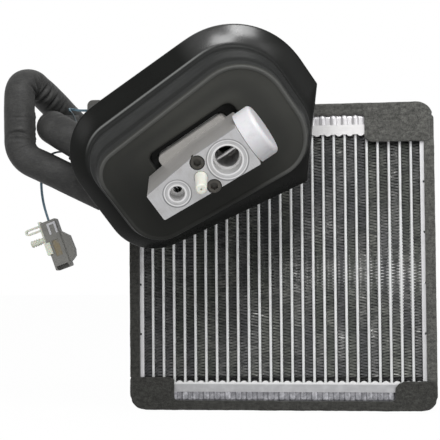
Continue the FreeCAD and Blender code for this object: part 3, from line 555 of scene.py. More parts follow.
@dataclass(frozen=True)
class FinMetal(Finish):
    """Thin rolled fin sheet, where single folds catch the light."""

    colour: Colour
    painted_highlight: Colour
    shade: Colour
    recess_shade: Colour
    roughness: float = 0.5
    metallic: float = 0.1
    shine: float = 0.2
    pitch: float = 0.0084
    patch_steps: Span = (7.31, 26.0)
    patch_reach: Span = (0.36, 0.66)
    fleck_steps: Triple = (3.7, 420.0, 160.0)
    dull_reach: Span = (0.56, 0.34)
    spark_reach: Span = (0.6, 0.7)
    spark_patch: Span = (0.55, 0.68)
    fleck_share: float = 0.8
    tint_size: float = 2.6
    tint_reach: Span = (0.4, 0.6)
    tint_share: float = 0.35
    green: Triple = (0.92, 1.0, 0.9)
    blue: Triple = (0.96, 0.96, 1.1)
    face: float = 0.0157
    face_soft: float = 0.0006
    shaded: float = 0.0255
    shaded_soft: float = 0.001

    def tinted(self, tint: Triple) -> Colour:
        """Return the sheet's colour under a tint."""
        return tuple(part * share for part, share in zip(self.colour, tint))

    def shader(self, graph: ShaderGraph) -> Signal:
        """Return the shader: patches, flecks and painted glints, with painted shade behind the face and low
        down.

        Args:
            graph: The material's graph.

        Returns:
            The shader.
        """
        across, _, up = (graph.axis(graph.place, name) for name in "XYZ")
        column = (across * (1.0 / self.pitch) + 0.5).rounded()
        level = graph.vector(column * self.patch_steps[0], up * self.patch_steps[1], 0.0)
        patch = graph.noise(level, 1.0, Grain.FINE)
        by_column, by_height, by_side = self.fleck_steps
        spot = graph.vector(column * by_column, up * by_height, across * by_side)
        fleck = graph.noise(spot, 1.0, Grain.FINE)
        tint = graph.noise(level, self.tint_size, Grain.BLOT).ramp(*self.tint_reach)
        tone = graph.blend(patch.ramp(*self.patch_reach), self.shade, self.colour)
        tone = graph.blend(self.tint_share, tone,
                           graph.blend(tint, self.tinted(self.green), self.tinted(self.blue)))
        tone = graph.blend(fleck.ramp(*self.dull_reach) * self.fleck_share, tone, self.shade)
        # Painted glints: sparks of the highlight colour on single folds.
        spark = fleck.ramp(*self.spark_reach) * patch.ramp(*self.spark_patch)
        tone = graph.blend(spark * self.fleck_share, tone, self.painted_highlight)
        # Painted shade: behind the front face and on the lowest folds the sheet takes the recess shade
        # colour.
        behind = graph.axis(graph.place, "Y").size().ramp(self.face, self.face - self.face_soft)
        low = up.ramp(self.shaded + self.shaded_soft, self.shaded)
        tone = graph.blend(behind.at_least(low), tone, self.recess_shade)
        return graph.surface(Base_Color=tone, Roughness=self.roughness, Metallic=self.metallic,
                             Specular_IOR_Level=self.shine)


@dataclass(frozen=True)
class Foam(Finish):
    """Closed-cell foam with a skin: mottled, matt and slightly fibrous."""

    colour: Colour
    pale: Colour
    cell: float = 0.0009
    mottle: float = 0.005
    depth: float = 0.00035
    roughness: float = 0.9
    sheen: float = 0.25
    sheen_roughness: float = 0.6
    shine: float = 0.15
    fibre: float = 2.2
    fibre_stretch: Triple = (0.3, 1.0, 1.1)
    shares: Triple = (0.45, 0.25, 0.45)
    reach: Span = (0.42, 0.78)
    heights: Span = (0.6, 0.4)
    wear: float = 0.12

    def shader(self, graph: ShaderGraph) -> Signal:
        """Return the shader, from cells, fibres and a wider mottle.

        Args:
            graph: The material's graph.

        Returns:
            The shader.
        """
        cells = graph.noise(graph.place, self.cell, Grain.CELL)
        fibres = graph.noise(graph.place, self.cell * self.fibre, Grain.FINE, self.fibre_stretch)
        mottle = graph.noise(graph.place, self.mottle, Grain.MOTTLE)
        share = cells * self.shares[0] + fibres * self.shares[1] + mottle * self.shares[2]
        tone = graph.blend(share.ramp(*self.reach), self.colour, self.pale)
        height = cells * self.heights[0] + fibres * self.heights[1]
        return graph.surface(Base_Color=tone, Roughness=self.roughness - mottle * self.wear,
                             Sheen_Weight=self.sheen, Sheen_Roughness=self.sheen_roughness,
                             Specular_IOR_Level=self.shine, Normal=graph.bump(height, self.depth))


@dataclass(frozen=True)
class Rubber(Finish):
    """Moulded rubber with a dull bloom and faint flow marks."""

    colour: Colour
    bloom: Colour
    roughness: float = 0.45
    shine: float = 0.14
    pore: float = 0.0007
    depth: float = 0.00005
    cloud_size: float = 0.02
    cloud_reach: Span = (0.38, 0.7)
    cloud_share: float = 0.6
    cloud_wear: float = 0.14
    mark_size: float = 0.0016
    mark_stretch: Triple = (0.5, 1.0, 0.25)
    mark_reach: Span = (0.55, 0.8)
    mark_share: float = 0.35
    mark_height: float = 0.5
    pore_wear: float = 0.06

    def shader(self, graph: ShaderGraph) -> Signal:
        """Return the shader, with clouds of bloom and fine pores.

        Args:
            graph: The material's graph.

        Returns:
            The shader.
        """
        pores = graph.noise(graph.place, self.pore, Grain.FINE)
        clouds = graph.noise(graph.place, self.cloud_size, Grain.CLOUD)
        marks = graph.noise(graph.place, self.mark_size, Grain.LINE, self.mark_stretch)
        share = clouds.ramp(*self.cloud_reach) * self.cloud_share
        share = share + marks.ramp(*self.mark_reach) * self.mark_share
        gloss = self.roughness + clouds * self.cloud_wear - pores * self.pore_wear
        return graph.surface(Base_Color=graph.blend(share, self.colour, self.bloom), Roughness=gloss,
                             Specular_IOR_Level=self.shine,
                             Normal=graph.bump(pores + marks * self.mark_height, self.depth))


@dataclass(frozen=True)
class BootRubber(Rubber):
    """Boot rubber: dusty with painted light on the panel and wall, black and satin on the flange.

    Edges are in millimetres behind the panel or the foot, shares of the wall run
    from 0 at the panel to 1 at the foot, and the other spans are in metres.
    """

    cloud_size: float = 0.03
    cloud_wear: float = 0.08
    pore_wear: float = 0.04
    panel_dust_and_light: Colour = (0.048, 0.0485, 0.044)
    wall_dust_and_light: Colour = (0.034, 0.035, 0.0345)
    bead_highlight: Colour = (0.085, 0.086, 0.082)
    crease_highlight: Colour = (0.2, 0.205, 0.2)
    dash: DashFrame = DashFrame()
    streak_size: float = 0.002
    streak_stretch: Triple = (0.12, 1.0, 1.0)
    streak_reach: Span = (0.35, 0.7)
    streak_level: Span = (0.25, 0.8)
    bloom_share: float = 0.4
    panel_edge: Span = (1.5, 0.3)
    panel_height: Span = (0.15, 0.235)
    panel_level: Span = (0.7, 0.3)
    panel_cloud: Span = (0.4, 0.75)
    flange_edge: Span = (-0.6, 0.6)
    lit_height: Span = (0.155, 0.185)
    bead_edge: Span = (-0.2, -0.6)
    bead_level: Span = (0.85, 0.15)
    bead_cloud: Span = (0.4, 0.7)
    step_start: Span = (0.42, 0.5)
    step_end: Span = (0.82, 0.72)
    step_side: Span = (-0.03, -0.06)
    step_level: Span = (0.6, 0.4)
    near_reach: Span = (0.24, 0.16)
    near_share: float = 0.7
    wall_level: Span = (0.5, 0.45)
    wall_lit: Span = (0.75, 0.25)
    wall_side: Span = (-0.02, 0.02)
    wall_loss: Span = (-0.3, 1.0)
    crease_width: Span = (0.35, 0.05)
    crease_side: Span = (-0.03, -0.055)
    crease_height: Span = (0.19, 0.212)
    crease_share: float = 0.8
    polish_start: Span = (0.024, 0.046)
    polish_end: Span = (0.096, 0.066)
    polish_low: Span = (0.02, 0.045)
    polish_level: Span = (0.5, 0.75)
    coat_roughness: float = 0.22
    dull: float = 0.14

    def shader(self, graph: ShaderGraph) -> Signal:
        """Return the shader, dusty with painted light by region, polished on part of the flange.

        Args:
            graph: The material's graph.

        Returns:
            The shader.
        """
        local = graph.local(graph.place, self.dash.placement())
        depth = graph.axis(local, "Z") * (-1.0 / MM)
        behind = depth - self.dash.panel_depth
        past = depth - self.dash.foot_depth
        flange = past.ramp(*self.flange_edge)
        pores = graph.noise(graph.place, self.pore, Grain.FINE)
        clouds = graph.noise(graph.place, self.cloud_size, Grain.CLOUD)
        streaks = graph.noise(local, self.streak_size, Grain.LINE, self.streak_stretch)
        tone = graph.blend(clouds * self.bloom_share, self.colour, self.bloom)
        # Dusty layers and painted light, laid on region by region.
        for share, dust_and_light in self.dust_and_light_layers(graph, (behind, past, flange), (clouds, streaks)):
            tone = graph.blend(share, tone, dust_and_light)
        along, across = graph.axis(local, "X"), graph.axis(local, "Y")
        polish = flange * along.ramp(*self.polish_start) * along.ramp(*self.polish_end)
        polish = polish * across.ramp(*self.polish_low) * streaks.level(*self.polish_level)
        gloss = self.roughness + (1.0 - flange) * self.dull
        gloss = gloss + clouds * self.cloud_wear - pores * self.pore_wear
        return graph.surface(Base_Color=tone, Roughness=gloss, Specular_IOR_Level=self.shine,
                             Coat_Weight=polish, Coat_Roughness=self.coat_roughness,
                             Normal=graph.bump(pores + streaks * self.mark_height, self.depth))

    def dust_and_light_layers(self, graph: ShaderGraph, regions: Tuple[Signal, Signal, Signal],
                marks: Tuple[Signal, Signal]) -> List[Tuple[Signal, Colour]]:
        """Return the shares and colours of the dusty layers and the painted light, region by region.

        Args:
            graph: The material's graph.
            regions: Depth behind the panel, depth behind the foot, and the flange's mask.
            marks: The clouds and the streaks.

        Returns:
            Each region's share with its colour, in the order that they are laid on.
        """
        behind, past, flange = regions
        clouds, streaks = marks
        side, height = graph.axis(graph.place, "X"), graph.axis(graph.place, "Z")
        # Painted light: lit makes the wall and the bead lighter higher up.
        lit = height.ramp(*self.lit_height)
        panel = behind.ramp(*self.panel_edge)
        down = behind * (1.0 / (self.dash.foot_depth - self.dash.panel_depth))
        # Painted light: lighter step bands on the left of the wall, laid over its dusty layer.
        step = down.ramp(*self.step_start) * down.ramp(*self.step_end)
        step = step * side.ramp(*self.step_side).level(*self.step_level)
        dust_and_light = step.at_least(down.ramp(*self.near_reach) * self.near_share).level(*self.wall_level)
        dust_and_light = dust_and_light * streaks.ramp(*self.streak_reach).level(*self.streak_level)
        # Painted shade: the wall's dusty layer is weaker on the right side.
        dust_and_light = dust_and_light * side.ramp(*self.wall_side).level(*self.wall_loss)
        wall = 1.0 - panel.at_least(flange)
        # Painted light: the panel's dusty layer grows lighter with height.
        panel = panel * height.ramp(*self.panel_height).level(*self.panel_level)
        # Painted highlight along the raised bead round the panel, stronger higher up.
        bead = behind.ramp(*self.bead_edge) * lit.level(*self.bead_level)
        # Painted highlight along the foot crease, on the left and upper part only.
        crease = past.size().ramp(*self.crease_width) * self.crease_share
        crease = crease * side.ramp(*self.crease_side) * height.ramp(*self.crease_height)
        return [(panel * clouds.level(*self.panel_cloud), self.panel_dust_and_light),
                (wall * dust_and_light * lit.level(*self.wall_lit), self.wall_dust_and_light),
                (bead * clouds.level(*self.bead_cloud), self.bead_highlight),
                (crease, self.crease_highlight)]


@dataclass(frozen=True)
class Plastic(Finish):
    """Injection-moulded plastic with a fine grain and handling marks."""

    colour: Colour
    mark: Colour
    roughness: float = 0.5
    grain: float = 0.0005
    depth: float = 0.00002
    alpha: float = 1.0
    subsurface: float = 0.0
    scatter: float = 0.002
    mark_size: float = 0.006
    mark_reach: Span = (0.5, 0.75)
    mark_share: float = 0.6
    wear: float = 0.12
    wear_shift: float = -0.06

    def shader(self, graph: ShaderGraph) -> Signal:
        """Return the shader.

        Args:
            graph: The material's graph.

        Returns:
            The shader.
        """
        grain = graph.noise(graph.place, self.grain, Grain.FINE)
        marks = graph.noise(graph.place, self.mark_size, Grain.STAIN)
        return graph.surface(Base_Color=self.tone(graph, marks),
                             Roughness=self.roughness + marks * self.wear + self.wear_shift,
                             Alpha=self.alpha, Subsurface_Weight=self.subsurface,
                             Subsurface_Scale=self.scatter, Normal=graph.bump(grain, self.depth))

    def tone(self, graph: ShaderGraph, marks: Signal) -> Signal:
        """Return the colour, worn in places."""
        return graph.blend(marks.ramp(*self.mark_reach) * self.mark_share, self.colour, self.mark)


@dataclass(frozen=True)
class PatchedPlastic(Plastic):
    """Moulded plastic with a tan patch in the window of the plug's front.

    The patch's middle and half sizes are in millimetres, in the plug's frame.
    """

    patch: Colour = (0.2, 0.165, 0.1)
    plug: PlugFrame = PlugFrame()
    middle: Triple = (0.7, -4.6, -22.5)
    half: Triple = (2.7, 0.3, 6.6)
    soft: Span = (1.12, 0.88)
    patch_size: float = 0.003
    patch_reach: Span = (0.2, 0.6)

    def tone(self, graph: ShaderGraph, marks: Signal) -> Signal:
        """Return the colour with the patch laid in.

        Args:
            graph: The material's graph.
            marks: The handling marks.

        Returns:
            The colour.
        """
        local = graph.local(graph.place, self.plug.placement())
        mask: Operand = 1.0
        for name, middle, half in zip("XYZ", self.middle, self.half):
            away = (graph.axis(local, name) - middle * MM).size()
            mask = away.ramp(*(half * MM * share for share in self.soft)) * mask
        worn = graph.noise(graph.place, self.patch_size, Grain.WORN).ramp(*self.patch_reach) * mask
        return graph.blend(worn, super().tone(graph, marks), self.patch)


@dataclass(frozen=True)
class LeadCover(Plastic):
    """Lead insulation with painted shade along the stretch where it lies on the foam."""

    dark: Colour = (0.045, 0.05, 0.053)
    dark_start: Span = (0.196, 0.204)
    dark_end: Span = (0.2345, 0.2325)
    dark_share: float = 0.9

    def tone(self, graph: ShaderGraph, marks: Signal) -> Signal:
        """Return the colour, with painted shade along the stretch on the foam.

        Args:
            graph: The material's graph.
            marks: The handling marks.

        Returns:
            The colour.
        """
        height = graph.axis(graph.place, "Z")
        # Painted shade between two heights, where the lead runs among the pipe sleeves.
        stretch = height.ramp(*self.dark_start) * height.ramp(*self.dark_end)
        return graph.blend(stretch * self.dark_share, super().tone(graph, marks), self.dark)


class Finishes:
    """All the finishes of the part, each made once."""

    TUBE = Metal("tube_metal", (0.66, 0.67, 0.67), (0.44, 0.44, 0.43), 0.5, 0.3, Flow.UP)
    FIN = FinMetal("fin_metal", (0.22, 0.22, 0.207), (0.95, 0.95, 0.93), (0.05, 0.053, 0.052),
                   (0.010, 0.0105, 0.010))
    HEADER = Metal("header_metal", (0.66, 0.65, 0.65), (0.50, 0.50, 0.50), 0.5, 0.3, Flow.ACROSS)
    # Painted shade: a darker copy of the header metal for the bottom header, which gets less light than the
    # top one.
    SHADED_LOW_HEADER = Metal("low_header_shaded_metal", (0.37, 0.37, 0.38), (0.56, 0.56, 0.57), 0.5, 0.35, Flow.ACROSS,
                       stain_size=0.006, lip=(0.0196, 0.0206), lip_highlight_colour=(0.7, 0.7, 0.7))
    TANK = Metal("tank_metal", (0.56, 0.55, 0.56), (0.34, 0.34, 0.36), 0.38, 0.5, Flow.NONE)
    # Painted shade and painted highlights: a darker copy of the tank metal for the bottom tank, whose paler
    # stain blobs stand for highlights on its bulges.
    SHADED_LOW_TANK = Metal("low_tank_shaded_metal", (0.2, 0.2, 0.215), (0.52, 0.52, 0.55), 0.32, 0.5, Flow.NONE,
                     stain_size=0.0035, stain_share=0.75)
    PLATE = Metal("side_plate_metal", (0.62, 0.62, 0.63), (0.40, 0.40, 0.40), 0.45, 0.5, Flow.UP)
    PIPE = Metal("pipe_metal", (0.60, 0.61, 0.62), (0.38, 0.38, 0.38), 0.35, 0.9, Flow.NONE)
    BLOCK = Metal("pipe_block_metal", (0.36, 0.35, 0.335), (0.24, 0.23, 0.215), 0.45, 0.4, Flow.THROUGH)
    VALVE = ValveMetal("valve_metal", (0.46, 0.46, 0.47), (0.33, 0.32, 0.305), (0.14, 0.14, 0.145),
                       (0.8, 0.8, 0.8))
    STEEL = Metal("turned_steel", (0.50, 0.50, 0.50), (0.26, 0.25, 0.24), 0.3, 1.0, Flow.NONE)
    SCREW = Metal("screw_steel", (0.055, 0.052, 0.047), (0.13, 0.115, 0.095), 0.42, 0.6, Flow.NONE)
    # Painted light: one foam in a lighter copy for the top and right pieces and a darker copy for the bottom
    # and left pieces, as the light falls from the upper right.
    LIT_EDGE_FOAM = Foam("edge_foam", (0.03, 0.03, 0.028), (0.155, 0.155, 0.142), 0.0008, 0.0022, 0.0003)
    SHADED_EDGE_FOAM = Foam("shaded_edge_foam", (0.013, 0.013, 0.011), (0.064, 0.064, 0.058), 0.0008, 0.0022, 0.0003)
    PIPE_FOAM = Foam("pipe_foam", (0.03, 0.03, 0.03), (0.064, 0.064, 0.062), 0.0006, 0.012, 0.00012,
                     0.6, 0.0)
    BOOT = BootRubber("boot_rubber", (0.0035, 0.0038, 0.0033), (0.0115, 0.012, 0.011), 0.26, 0.1)
    SEAL = Rubber("seal_rubber", (0.012, 0.012, 0.012), (0.02, 0.02, 0.02), 0.35)
    CAP = Plastic("cap_plastic", (0.62, 0.615, 0.635), (0.5, 0.5, 0.52), 0.42, subsurface=0.15)
    PLUG = Plastic("plug_plastic", (0.70, 0.70, 0.63), (0.56, 0.56, 0.47), 0.5, subsurface=0.2)
    TAB = Plastic("tab_plastic", (0.07, 0.069, 0.064), (0.045, 0.045, 0.043), 0.6)
    HOUSING = PatchedPlastic("housing_plastic", (0.18, 0.178, 0.165), (0.12, 0.12, 0.115), 0.5)
    LOCK = Plastic("lock_plastic", (0.55, 0.55, 0.57), (0.45, 0.45, 0.46), 0.5)
    CLIP = Plastic("clip_plastic", (0.72, 0.74, 0.64), (0.62, 0.65, 0.53), 0.35, alpha=0.93, subsurface=0.2)
    LEAD = LeadCover("lead_plastic", (0.13, 0.22, 0.28), (0.06, 0.11, 0.16), 0.4)

    _made: Dict[str, bpy.types.Material] = {}

    @classmethod
    def material(cls, finish: Finish) -> bpy.types.Material:
        """Return the finish's material, building it the first time."""
        if finish.name not in cls._made:
            cls._made[finish.name] = finish.build()
        return cls._made[finish.name]


# Mesh tools


def linked(name: str, data: bpy.types.ID) -> bpy.types.Object:
    """Return a new object in the scene.

    Args:
        name: The object's name.
        data: Its mesh, curve, camera or lamp.

    Returns:
        The object.
    """
    made = bpy.data.objects.new(name, data)
    bpy.context.scene.collection.objects.link(made)
    return made


def evaluated_mesh(piece: bpy.types.Object) -> bpy.types.Mesh:
    """Return a plain mesh of a piece with its modifiers applied.

    Args:
        piece: The piece, which stays as it is.

    Returns:
        The new mesh.
    """
    graph = bpy.context.evaluated_depsgraph_get()
    graph.update()
    return bpy.data.meshes.new_from_object(piece.evaluated_get(graph), depsgraph=graph)


def modified(mesh: bpy.types.Mesh, steps: Sequence[Tuple[str, Dict[str, object]]]) -> bpy.types.Mesh:
    """Return a copy of a mesh with modifiers applied.

    Args:
        mesh: The mesh.
        steps: Each modifier's type and its settings, in order.

    Returns:
        The new mesh.
    """
    carrier = linked("modifier_carrier", mesh)
    for kind, settings in steps:
        modifier = carrier.modifiers.new(kind, kind)
        for key, value in settings.items():
            setattr(modifier, key, value)
    result = evaluated_mesh(carrier)
    bpy.data.objects.remove(carrier)
    return result


@contextmanager
def edited(mesh: bpy.types.Mesh) -> Iterator[bmesh.types.BMesh]:
    """Open a mesh for editing, and write it back at the end.

    Args:
        mesh: The mesh.

    Yields:
        The open mesh.
    """
    work = bmesh.new()
    work.from_mesh(mesh)
    yield work
    work.to_mesh(mesh)
    work.free()


def add_piece(name: str, mesh: bpy.types.Mesh, finish: Finish,
              smooth: bool = True) -> bpy.types.Object:
    """Put a mesh in the scene as a piece of the part.

    Args:
        name: The piece's name.
        mesh: Its mesh, already in place and in metres.
        finish: The finish it gets.
        smooth: Whether its faces are shaded smooth.

    Returns:
        The new object, riding on the part's body.
    """
    piece = linked(name, mesh)
    mesh.materials.clear()
    mesh.materials.append(Finishes.material(finish))
    mesh.polygons.foreach_set("use_smooth", [smooth] * len(mesh.polygons))
    mesh.polygons.foreach_set("material_index", [0] * len(mesh.polygons))
    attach(piece, BODY)
    return piece


def dress(finish: Finish, *names: str) -> None:
    """Give CAD nodes one finish in every material slot.

    Args:
        finish: The finish.
        names: The nodes' names.
    """
    material = Finishes.material(finish)
    for name in names:
        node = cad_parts[name]
        if not node.material_slots:
            node.data.materials.append(material)
        for slot in node.material_slots:
            slot.material = material


def mesh_from(name: str, points: Sequence[Vector], faces: Sequence[Sequence[int]]) -> bpy.types.Mesh:
    """Return a mesh with its faces outwards.

    Args:
        name: The mesh's name.
        points: Its points in millimetres; those in one place are merged.
        faces: Its faces as point numbers.

    Returns:
        The mesh in metres.
    """
    mesh = bpy.data.meshes.new(name)
    mesh.from_pydata([tuple(p * MM) for p in points], [], [tuple(f) for f in faces])
    with edited(mesh) as work:
        bmesh.ops.remove_doubles(work, verts=work.verts, dist=POINT_MERGE)
        bmesh.ops.recalc_face_normals(work, faces=work.faces)
    return mesh


def ring_faces(rings: int, around: int, closed: bool) -> List[Tuple[int, int, int, int]]:
    """Return the quads between rings of points, each ring closed on itself.

    Args:
        rings: How many rings there are.
        around: How many points each ring has.
        closed: Whether the last ring joins the first.

    Returns:
        The quads as point numbers.
    """
    faces = []
    for i in range(rings if closed else rings - 1):
        j = (i + 1) % rings
        for k in range(around):
            m = (k + 1) % around
            faces.append((i * around + k, i * around + m, j * around + m, j * around + k))
    return faces


def fillet(before: Vector, corner: Vector, after: Vector, radius: float) -> Tuple[Vector, Vector, Vector]:
    """Return the arc that rounds a corner.

    Args:
        before: The corner before it.
        corner: The corner.
        after: The corner after it.
        radius: The arc's radius.

    Returns:
        The arc's centre, and its start and end as seen from the centre.
    """
    back = (before - corner).normalized()
    ahead = (after - corner).normalized()
    half = back.angle(ahead) / 2
    centre = corner + (back + ahead).normalized() * (radius / math.sin(half))
    reach = radius / math.tan(half)
    return centre, corner + back * reach - centre, corner + ahead * reach - centre


def filleted_outline(corners: Sequence[Corner], arc: int, side: int) -> List[Vector]:
    """Return a ring of points round a filleted outline.

    Args:
        corners: Corners as (u, v, radius).
        arc: Points on each corner's arc.
        side: Points on each straight side.

    Returns:
        The points, the same number for any outline with as many corners.
    """
    places = [Vector(corner[:2]) for corner in corners]
    arcs = []
    for i, here in enumerate(places):
        centre, start, end = fillet(places[i - 1], here, places[(i + 1) % len(places)], corners[i][2])
        sweep = start.angle_signed(end)
        arcs.append([centre + Matrix.Rotation(-sweep * k / (arc - 1), 2) @ start for k in range(arc)])
    ring = []
    for i, points in enumerate(arcs):
        ring += points
        last, first = points[-1], arcs[(i + 1) % len(arcs)][0]
        ring += [last.lerp(first, k / (side + 1)) for k in range(1, side + 1)]
    return ring


def filleted_path(points: Sequence[Triple], radii: Sequence[float], step: float) -> List[Vector]:
    """Return points along straight runs joined by arcs.

    Args:
        points: The route's ends and corners.
        radii: The radius at each corner.
        step: About how far apart the points lie.

    Returns:
        The points, from one end to the other.
    """
    corners = [Vector(p) for p in points]
    rough = [corners[0]]
    for i, radius in enumerate(radii, 1):
        centre, start, end = fillet(corners[i - 1], corners[i], corners[i + 1], radius)
        axis, angle = start.rotation_difference(end).to_axis_angle()
        count = max(4, int(radius * angle / step))
        rough += [centre + Matrix.Rotation(angle * k / count, 3, axis) @ start for k in range(count + 1)]
    rough.append(corners[-1])
    path = [rough[0]]
    for p, q in zip(rough[:-1], rough[1:]):
        count = max(1, int(round((q - p).length / step)))
        path += [p.lerp(q, k / count) for k in range(1, count + 1)]
    return path


def path_frames(path: Sequence[Vector]) -> List[Tuple[Vector, Vector]]:
    """Return a pair of spokes at each point of a path.

    Args:
        path: The path's points.

    Returns:
        Two directions square to the path and to each other, the first near the
        part's front; they turn as little as possible along the path.
    """
    frames = []
    guide = Vector(FRONT)
    for i in range(len(path)):
        heading = (path[min(i + 1, len(path) - 1)] - path[max(i - 1, 0)]).normalized()
        guide = (guide - heading * guide.dot(heading)).normalized()
        frames.append((guide, heading.cross(guide)))
    return frames


def spoke(pair: Tuple[Vector, Vector], turn: float) -> Vector:
    """Return the direction at a turn from the first of two spokes towards the second."""
    return pair[0] * math.cos(turn) + pair[1] * math.sin(turn)


def turned(degrees: float) -> float:
    """Return the same angle between -180 and 180 degrees."""
    return (degrees + 180.0) % 360.0 - 180.0


# Sub-assemblies


@dataclass
class TubeBlock:
    """Tubes, fins, tanks and side plates.

    A fold is described as one unit wide, deep and high, and its shares are of that
    unit. The dents' depth is a span in metres, and their scale and the ripples' are
    in features to the metre.
    """

    columns: int = 26
    column_pitch: float = 8.4
    column_gap: float = 6.2
    edge_gap: float = 5.8
    fin_depth: float = 32.0
    fin_low: float = 23.2
    fin_high: float = 210.2
    fold_height: float = 2.36
    section: Tuple[Span, ...] = (
        (-0.5, 0.0), (-0.485, 0.1), (-0.44, 0.14), (0.44, 0.36), (0.485, 0.4), (0.5, 0.5))
    sheet_width: float = 0.5
    edge_height: float = 0.62
    edge_share: float = 0.01
    bend_share: float = 0.4
    louvre_banks: int = 5
    louvre_tilt: float = 48.0
    louvre_limit: float = 0.24
    landing: float = 1.5
    wander: float = 0.22
    seed: float = 7.0
    ripple_scale: float = 170.0
    ripple_share: float = 2.0
    dent_seed: float = 3.0
    dent_scale: float = 60.0
    dent_reach: Span = (0.66, 0.74)
    dent_depth: Span = (-0.011, -0.016)
    dent_share: float = 16.0

    def fold_mesh(self) -> bpy.types.Mesh:
        """Return one full fold of the fin, one unit wide, deep and high.

        Returns:
            The mesh, with louvres cut across both of its sheets.
        """
        points: List[Triple] = []
        faces: List[Tuple[int, ...]] = []

        def strip(ends: Sequence[Span], y0: float, y1: float, tilt: float = 0.0,
                  flipped: bool = False) -> None:
            """Add one strip between two places of the section.

            Args:
                ends: The two places as (x, z).
                y0: Where the strip starts in depth.
                y1: Where it ends.
                tilt: How far its start is lowered and its end raised.
                flipped: Whether it faces the other way.
            """
            start = len(points)
            for x, z in ends:
                points.extend(((x, y0, z - tilt), (x, y1, z + tilt)))
            order = (0, 2, 3, 1) if flipped else (0, 1, 3, 2)
            faces.append(tuple(start + k for k in order))

        mirror = [(x, 1.0 - z) for x, z in reversed(self.section)]
        whole = list(self.section) + mirror[1:]
        landing = self.landing / self.fin_depth
        pitch = (0.5 - 1.5 * landing) / self.louvre_banks
        rise = math.tan(math.radians(self.louvre_tilt)) * pitch * self.fin_depth / self.fold_height / 2
        tilt = min(rise, self.louvre_limit)
        lift = self.edge_height / self.fold_height / 2
        for ends in zip(whole[:-1], whole[1:]):
            if abs(ends[1][0] - ends[0][0]) < self.sheet_width:
                strip(ends, -0.5, 0.5)
                strip(ends, -0.5, -0.5 + self.edge_share, lift * self.bend_share, True)
                continue
            strip(ends, -0.5, -0.5 + self.edge_share, lift, True)
            strip(ends, -0.5, -0.5 + landing)
            strip(ends, 0.5 - landing, 0.5)
            strip(ends, -landing / 2, landing / 2)
            for bank, start in ((tilt, -0.5 + landing), (-tilt, landing / 2)):
                for k in range(self.louvre_banks):
                    y0 = start + k * pitch
                    strip(ends, y0, y0 + pitch, bank)
        mesh = bpy.data.meshes.new("fin_fold")
        mesh.from_pydata(points, [], faces)
        return mesh

    def offset(self, graph: FieldGraph, position: Signal, shift: Signal, wander: Signal) -> Signal:
        """Return how far each place of the even fins is moved.

        Args:
            graph: The fins' tree.
            position: The place.
            shift: How far the outer columns move sideways.
            wander: How far the folds wander.

        Returns:
            The move, with ripples all over and dents near the front.
        """
        seed = graph.input("Seed", "Float", self.seed)

        def pattern(shift_seed: Operand, scale: float, detail: float, output: str) -> Signal:
            """Return noise with a seed, a scale and a detail."""
            return graph.node("ShaderNodeTexNoise", {"noise_dimensions": "4D"}, {
                "Vector": position, "W": shift_seed, "Scale": scale, "Detail": detail}, output)

        def vector_maths(operation: str, sockets: dict) -> Signal:
            """Return a Vector Math node's result."""
            return graph.node("ShaderNodeVectorMath", {"operation": operation}, sockets)

        ripple = pattern(seed, self.ripple_scale, 2.0, "Color")
        centred = vector_maths("SUBTRACT", {0: ripple, 1: (0.5, 0.5, 0.5)})
        lumps = vector_maths("SCALE", {0: centred, "Scale": wander * self.ripple_share})
        dent = pattern(seed + self.dent_seed, self.dent_scale, 1.0, "Fac").ramp(*self.dent_reach)
        near = graph.axis(position, "Y").ramp(*self.dent_depth) * dent
        rise = graph.axis(centred, "Z") * near * (wander * self.dent_share)
        return vector_maths("ADD", {0: graph.vector(shift, 0.0, rise), 1: lumps})

    def fin_field(self) -> bpy.types.Mesh:
        """Return every fin column as one mesh, made by a geometry tree."""
        unit = linked("fin_fold", self.fold_mesh())
        graph = FieldGraph("fin_columns_tree")
        fold = graph.input("Fold", "Object", unit)
        columns = graph.input("Columns", "Int", self.columns)
        folds = graph.input("Folds", "Int", int((self.fin_high - self.fin_low) / self.fold_height))
        pitch, gap, edge, depth, height, low, wander = (
            graph.input(name, "Float", size * MM) for name, size in (
                ("Column Pitch", self.column_pitch), ("Column Gap", self.column_gap),
                ("Edge Gap", self.edge_gap), ("Fin Depth", self.fin_depth),
                ("Fold Height", self.fold_height), ("Low End", self.fin_low), ("Wander", self.wander)))
        finish = graph.input("Finish", "Material", Finishes.material(Finishes.FIN))
        half = (columns - 1.0) * pitch * 0.5
        row = graph.node("GeometryNodeMeshLine", {}, {
            "Count": columns, "Start Location": graph.vector(0.0 - half, 0.0, low),
            "Offset": graph.vector(pitch, 0.0, 0.0)})
        stack = graph.node("GeometryNodeMeshLine", {}, {
            "Count": folds, "Offset": graph.vector(0.0, 0.0, height)})
        spread = graph.node("GeometryNodeInstanceOnPoints", {}, {"Points": row, "Instance": stack})
        spots = graph.node("GeometryNodeRealizeInstances", {}, {0: spread})
        position = graph.node("GeometryNodeInputPosition")
        across = graph.axis(position, "X")
        outer = across.size().above(half - pitch * 0.5)
        width = gap + (edge - gap) * outer
        shape = graph.node("GeometryNodeObjectInfo", {"transform_space": "ORIGINAL"},
                           {"Object": fold}, "Geometry")
        placed = graph.node("GeometryNodeInstanceOnPoints", {}, {
            "Points": spots, "Instance": shape, "Scale": graph.vector(width, depth, height)})
        solid = graph.node("GeometryNodeRealizeInstances", {}, {0: placed})
        shift = across * outer * ((gap - edge) * -0.5) * (1.0 / half)
        offset = self.offset(graph, position, shift, wander)
        moved = graph.node("GeometryNodeSetPosition", {}, {"Geometry": solid, "Offset": offset})
        dressed = graph.node("GeometryNodeSetMaterial", {}, {"Geometry": moved, "Material": finish})
        mesh = graph.bake(dressed)
        bpy.data.objects.remove(unit)
        return mesh

